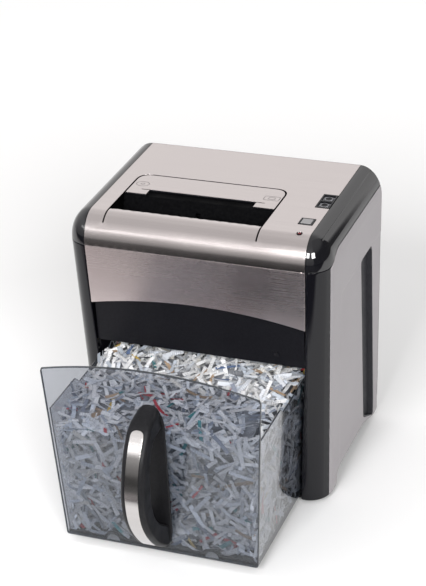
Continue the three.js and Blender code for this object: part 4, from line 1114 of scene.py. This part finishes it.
def build_grip_base():
    low, high, half = 19, 244, 20
    right = [(half * 0.55, low, 6), (half, low + 20, 10), (half, high - 22, 12), (half * 0.5, high, 8)]
    loop = outline([(-half * 0.55, low, 6), *right, *[(-x, z, r) for x, z, r in right[:0:-1]]], 4.0, 8)
    base = panel("grip_base", [loop], flat_front(BIN, -3.4), 3.0, [-10, 0, 10], spread(30, 236, 20), GRIP,
                 edge=1.4, steps=4)
    stands_for(base, "bin", "black", "handle_base")


def settle(piece):
    """Applies the piece's modifiers, and marks its sharp edges again."""
    graph = bpy.context.evaluated_depsgraph_get()
    shape = bpy.data.meshes.new_from_object(piece.evaluated_get(graph))
    bm = bmesh.new()
    bm.from_mesh(shape)
    shade(bm, 45)
    bm.to_mesh(shape)
    bm.free()
    piece.modifiers.clear()
    piece.data = shape
    weigh_normals(piece)


# ---------- shredded paper ----------

HEAP_LOW, HEAP_FRONT, HEAP_BACK = 15.0, 6.4, 232.6
HEAP_HALF = 138
STRIP_LOW, STRIP_HIGH = 14.0, 216.0
TUNNEL_CLEAR = 13.4  # radius that the strips keep out of, round each tunnel
TOP_STRIPS, FRONT_STRIPS, SIDE_STRIPS, BACK_STRIPS = 1050, 880, 360, 260


def heap_top(x, y):
    """Height of the heap in the bin, in the bin's own millimetres."""
    wave = 5.0 * math.sin(x * 0.031 + 0.7) * math.cos(y * 0.027) + 3.0 * math.sin(x * 0.083 + y * 0.06)
    corner = max(0.0, (-x - 92) / 52) * max(0.0, (46 - y) / 46)
    slope = 198.0 + 5.0 * min(1.0, max(0.0, y / 120)) - 9.0 * max(0.0, (y - 190) / 46)
    return slope + wave - 34.0 * corner


def strip_frame(rng, normal, lean):
    """Two directions for a strip that lies roughly across normal."""
    tilt = Vector((rng.gauss(0, 1), rng.gauss(0, 1), rng.gauss(0, 1))) * lean
    up = (normal + tilt).normalized()
    spin = Vector((rng.gauss(0, 1), rng.gauss(0, 1), rng.gauss(0, 1)))
    along = (spin - up * spin.dot(up)).normalized()
    return along, up.cross(along), up


# each paper's colour, how common it is, and whether it carries grey lines of print
INKS = [
    ((0.92, 0.92, 0.92), 52, 1), ((0.80, 0.83, 0.88), 20, 1), ((0.58, 0.63, 0.70), 11, 1),
    ((0.84, 0.81, 0.75), 4, 1), ((0.60, 0.03, 0.05), 1.7, 0), ((0.05, 0.30, 0.32), 1.2, 0),
    ((0.46, 0.32, 0.20), 1.8, 0), ((0.75, 0.52, 0.10), 0.4, 0), ((0.26, 0.29, 0.36), 3.4, 0),
    ((0.10, 0.16, 0.30), 0.5, 0),
]


def clamp(value, low, high):
    return max(low, min(high, value))


def in_bin(p):
    """The nearest place to p inside the tub and clear of its tunnels."""
    side = bin_half(p.z) - 1 - BIN_WALL - 0.6
    tunnel = math.sqrt(max(0.0, TUNNEL_CLEAR ** 2 - (abs(p.x) - TUNNEL_X) ** 2))
    low = max(STRIP_LOW, BIN_FLOOR + 0.5 + tunnel)
    return Vector((clamp(p.x, -side, side), clamp(p.y, HEAP_FRONT, HEAP_BACK), clamp(p.z, low, STRIP_HIGH)))


class Heap:
    """The cut paper in the bin: a packed core with loose strips on it, in the bin's own millimetres. The
    core's dark greys are painted shade between the strips.
    """

    CELLS = (30, 24, 12)
    INSET = 20.0  # of the core, behind the loose strips

    def __init__(self):
        self.rng = random.Random(7)
        self.bm = bmesh.new()
        self.tint = self.bm.verts.layers.float_color.new("tint")
        self.strip_place = self.bm.verts.layers.float_vector.new("strip")
        self.core = {}

    def add(self, spot, color, strip_place):
        vert = self.bm.verts.new(spot)
        vert[self.tint] = (*color, 1)
        vert[self.strip_place] = strip_place
        return vert

    def core_point(self, i, j, k):
        key = (i, j, k)
        if key not in self.core:
            rng, (nx, ny, nz) = self.rng, self.CELLS
            y = HEAP_FRONT + self.INSET + (HEAP_BACK - HEAP_FRONT - 2 * self.INSET) * j / ny
            share = i / nx * 2 - 1
            low, high = HEAP_LOW + 5, heap_top(share * HEAP_HALF, y) - 9
            z = low + (high - low) * k / nz
            x = share * (bin_half(z) - 4 - self.INSET)
            jolt = Vector((rng.uniform(-2, 2), rng.uniform(-2, 2), rng.uniform(-2, 2)))
            # dark greys, darker below the top: painted shade in the gaps between strips
            grey = rng.uniform(0.12, 0.5) if k == nz else rng.uniform(0.06, 0.3)
            color = (grey * 0.95, grey * 0.98, grey * 1.05)
            self.core[key] = self.add(at(*in_bin(Vector((x, y, z)) + jolt), BIN), color, (x, y, z))
        return self.core[key]

    def quad(self, *keys):
        self.bm.faces.new([self.core_point(*key) for key in keys])

    def build_core(self):
        nx, ny, nz = self.CELLS
        for i in range(nx):
            for j in range(ny):
                self.quad((i, j, 0), (i, j + 1, 0), (i + 1, j + 1, 0), (i + 1, j, 0))
                self.quad((i, j, nz), (i + 1, j, nz), (i + 1, j + 1, nz), (i, j + 1, nz))
        for i in range(nx):
            for k in range(nz):
                self.quad((i, 0, k), (i + 1, 0, k), (i + 1, 0, k + 1), (i, 0, k + 1))
                self.quad((i, ny, k), (i, ny, k + 1), (i + 1, ny, k + 1), (i + 1, ny, k))
        for j in range(ny):
            for k in range(nz):
                self.quad((0, j, k), (0, j, k + 1), (0, j + 1, k + 1), (0, j + 1, k))
                self.quad((nx, j, k), (nx, j + 1, k), (nx, j + 1, k + 1), (nx, j, k + 1))

    def strip(self, centre, normal, lean, painted_lighting=1.0):
        """A curled and twisted strip round centre, lying roughly across normal. A factor scales its colour:
        painted light and shade.
        """
        rng = self.rng
        color, _, printed = rng.choices(INKS, [weight for _, weight, _ in INKS])[0]
        shade = rng.uniform(0.86, 1.06) * painted_lighting
        color = tuple(min(0.93, c * shade) for c in color)
        length, width = rng.uniform(18, 40), rng.uniform(4.0, 6.2)
        along, across, up = strip_frame(rng, normal, lean)
        curl, twist, seed = rng.gauss(0, 0.012), rng.gauss(0, 0.009), rng.uniform(0, 900)
        rows = []
        for s in spread(-length / 2, length / 2, length / 6):
            run, rise = s, 0.0
            if abs(curl) > 1e-4:
                run, rise = math.sin(s * curl) / curl, (1 - math.cos(s * curl)) / curl
            middle = centre + along * run + up * rise
            side = across * math.cos(s * twist) + up * math.sin(s * twist)
            out = side.cross(along).normalized() * 0.07
            row = []
            for part, lift in ((-0.5, -1), (0.5, -1), (0.5, 1), (-0.5, 1)):
                spot = in_bin(middle + side * width * part) + out * lift
                row.append(self.add(at(*spot, BIN), color, (s + seed, width * part + seed, seed * printed)))
            rows.append(row)
        bridge(self.bm, rows)
        self.bm.faces.new(rows[0][::-1])
        self.bm.faces.new(rows[-1])


def build_shreds():
    heap = Heap()
    rng = heap.rng
    heap.build_core()
    for _ in range(TOP_STRIPS):
        x, y = rng.uniform(-137, 137), rng.uniform(HEAP_FRONT + 4, HEAP_BACK - 4)
        depth = rng.uniform(-13, 4)
        # painted light: top strips near the front, under the plate, are brighter
        heap.strip(Vector((x, y, heap_top(x, y) + depth)), Vector((0, 0, 1)), rng.choice([0.15, 0.3, 0.55]),
                   1.14 - 0.2 * clamp((y - 60) / 20, 0.0, 1.0))
    for _ in range(FRONT_STRIPS):
        x, z = rng.uniform(-136, 136), rng.uniform(HEAP_LOW, 204)
        if z > heap_top(x, 8):
            continue
        depth = 20 * rng.random() ** 1.2
        # painted shade: the front strips are darker, growing lighter towards the top
        heap.strip(Vector((x, HEAP_FRONT + 0.5 + depth, z)), Vector((0, -1, 0)), rng.choice([0.1, 0.25, 0.5]),
                   rng.uniform(0.38, 0.72) + 0.45 * clamp((z - 160) / 35, 0.0, 1.0))
    for side in [1] * SIDE_STRIPS + [-1] * SIDE_STRIPS:
        y, z = rng.uniform(HEAP_FRONT, HEAP_BACK), rng.uniform(HEAP_LOW, 202)
        if z > heap_top(side * HEAP_HALF, y):
            continue
        x = side * (bin_half(z) - 4.6 - rng.uniform(0.5, 8))
        heap.strip(Vector((x, y, z)), Vector((side, 0, 0)), rng.choice([0.08, 0.2, 0.45]))
    for _ in range(BACK_STRIPS):
        x, z = rng.uniform(-132, 132), rng.uniform(HEAP_LOW, 196)
        heap.strip(Vector((x, HEAP_BACK - rng.uniform(0.5, 8), z)), Vector((0, 1, 0)), 0.3)
    piece = finished(heap.bm, "paper_shreds", sharp=60, material=PAPER)
    piece.modifiers.clear()
    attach(piece, "bin")


# ---------- stage, lights and camera ----------

STAGE_HALF = 7.0  # metres


def build_stage():
    """The pale floor. Ahead of the cabinet, outside the picture, it darkens for the steel to reflect. Well
    behind the cabinet it glows: painted light.
    """
    bm = bmesh.new()
    corners = ((-1, -1), (1, -1), (1, 1), (-1, 1))
    bm.faces.new([bm.verts.new((x * STAGE_HALF, y * STAGE_HALF, 0)) for x, y in corners])
    floor = finished(bm, "floor")
    floor.modifiers.clear()
    s = Shader("pale_floor", (0.8, 0.8, 0.8), 0.7, specular_ior_level=0.1, emission_strength=1.0)
    x, y, _ = s.node("ShaderNodeSeparateXYZ", {0: s.place}).outputs
    aside = s.blend(s.ramp(x, 0, 1, -0.60, -0.10), (0.56, 0.525, 0.525), (0.055, 0.05, 0.052))
    near = s.blend(s.ramp(y, 0, 1, -0.50, -0.42), aside, (0.92, 0.92, 0.92))
    s.drive("Base Color", s.blend(s.ramp(y, 0, 1, -0.95, -0.66), (0.03, 0.03, 0.03), near))
    reach = s.node("ShaderNodeVectorMath", {0: s.place}, operation="LENGTH").outputs["Value"]
    # painted light: the floor well behind the cabinet glows a little
    painted_glow = s.math("MULTIPLY", s.ramp(reach, 0, 1, 0.75, 1.7), s.ramp(y, 0, 1, -0.30, 0.0))
    s.drive("Emission Color", s.blend(painted_glow, (0.0, 0.0, 0.0), (0.2, 0.2, 0.2)))
    floor.data.materials.append(s.material)


def bearing(azimuth, elevation):
    """A direction, from its angle to straight ahead of the cabinet and its angle to the floor, in degrees."""
    a, e = math.radians(azimuth), math.radians(elevation)
    return Vector((math.sin(a) * math.cos(e), -math.cos(a) * math.cos(e), math.sin(e)))


def softbox(name, azimuth, elevation, width, height, radiance, distance=5.0):
    """A lamp that fills a rectangle of the given angles, in degrees, as seen from the cabinet's top."""
    away = bearing(azimuth, elevation)
    data = bpy.data.lights.new(name, "AREA")
    data.shape = "RECTANGLE"
    data.size, data.size_y = (2 * distance * math.tan(math.radians(angle / 2)) for angle in (width, height))
    data.energy = radiance * math.pi * data.size * data.size_y
    lamp = bpy.data.objects.new(name, data)
    lamp.location = Vector((0, 0, 0.38)) + away * distance
    lamp.rotation_euler = away.to_track_quat("Z", "Y").to_euler()
    bpy.context.scene.collection.objects.link(lamp)


def build_lights():
    """A pale room, darker ahead of the cabinet and to its right, with three softboxes in front."""
    world = bpy.data.worlds.new("studio")
    bpy.context.scene.world = world
    world.use_nodes = True
    w = Nodes(world.node_tree)
    back = w.tree.nodes["Background"]
    x, y, z = w.node("ShaderNodeSeparateXYZ", {0: w.node("ShaderNodeTexCoord").outputs["Generated"]}).outputs
    level = w.math("SQRT", w.math("ADD", w.math("MULTIPLY", x, x), w.math("MULTIPLY", y, y)))
    right = w.ramp(w.math("DIVIDE", x, level), 0.0, 1.0, 0.505, 0.525)
    ahead = w.math("MULTIPLY", w.ramp(z, 0.36, 0.85, 0.0, 0.5), w.ramp(y, 1.0, 0.0, -0.2, 0.3))
    around = w.math("ADD", ahead, w.ramp(y, 0.0, 0.95, -0.2, 0.3))
    dark = w.math("MULTIPLY", w.ramp(z, 0.10, 0.7, 0.5, 0.9), right)
    shade = w.math("ADD", dark, w.math("MULTIPLY", around, w.math("SUBTRACT", 1.0, right)))
    w.feed(back, "Strength", w.math("MULTIPLY", shade, w.ramp(z, 1.0, 0.66, 0.66, 0.9)))
    w.feed(back, "Color", (1.0, 0.985, 0.98, 1))
    softbox("strip", azimuth=-38, elevation=26, width=28, height=7, radiance=2.2)
    softbox("key_left", azimuth=-1, elevation=30, width=16, height=18, radiance=21.0)
    softbox("key_right", azimuth=33, elevation=29, width=17, height=18, radiance=21.0)


# the camera as fitted to the photo, in degrees, millimetres of a 36 mm sensor and metres
VIEW_AZIMUTH, VIEW_ELEVATION, VIEW_ROLL = 22.39, 28.39, -3.44
VIEW_LENS = 117.43
VIEW_PLACE = (0.8925, -2.1032, 1.5493)


def build_camera():
    back, roll = bearing(VIEW_AZIMUTH, VIEW_ELEVATION), math.radians(VIEW_ROLL)
    right = (-back).cross(Vector((0, 0, 1))).normalized()
    up = right.cross(-back)
    turned = right * math.cos(roll) + up * math.sin(roll)
    upright = up * math.cos(roll) - right * math.sin(roll)
    data = bpy.data.cameras.new("view")
    data.lens = VIEW_LENS
    data.sensor_width = 36.0
    data.clip_end = 50
    camera = bpy.data.objects.new("view", data)
    matrix = Matrix((turned, upright, back)).transposed().to_4x4()
    matrix.translation = Vector(VIEW_PLACE)
    camera.matrix_world = matrix
    bpy.context.scene.collection.objects.link(camera)
    bpy.context.scene.camera = camera


build_camera()
dress_cad_nodes()
build_top()
build_caps()
build_pillars()
build_sides()
build_front()
build_rear()
build_slot_plate()
build_slot_marks()
build_controls()
build_bin_front()
build_tub()
build_hem()
build_handle()
build_grip_base()
build_shreds()
build_stage()
build_lights()
for softened in ("front_fascia", "left_side_recess", "right_side_recess", "chassis_plate", "base_plate"):
    soften(softened, 0.4)
bpy.context.scene.view_settings.view_transform = "Standard"
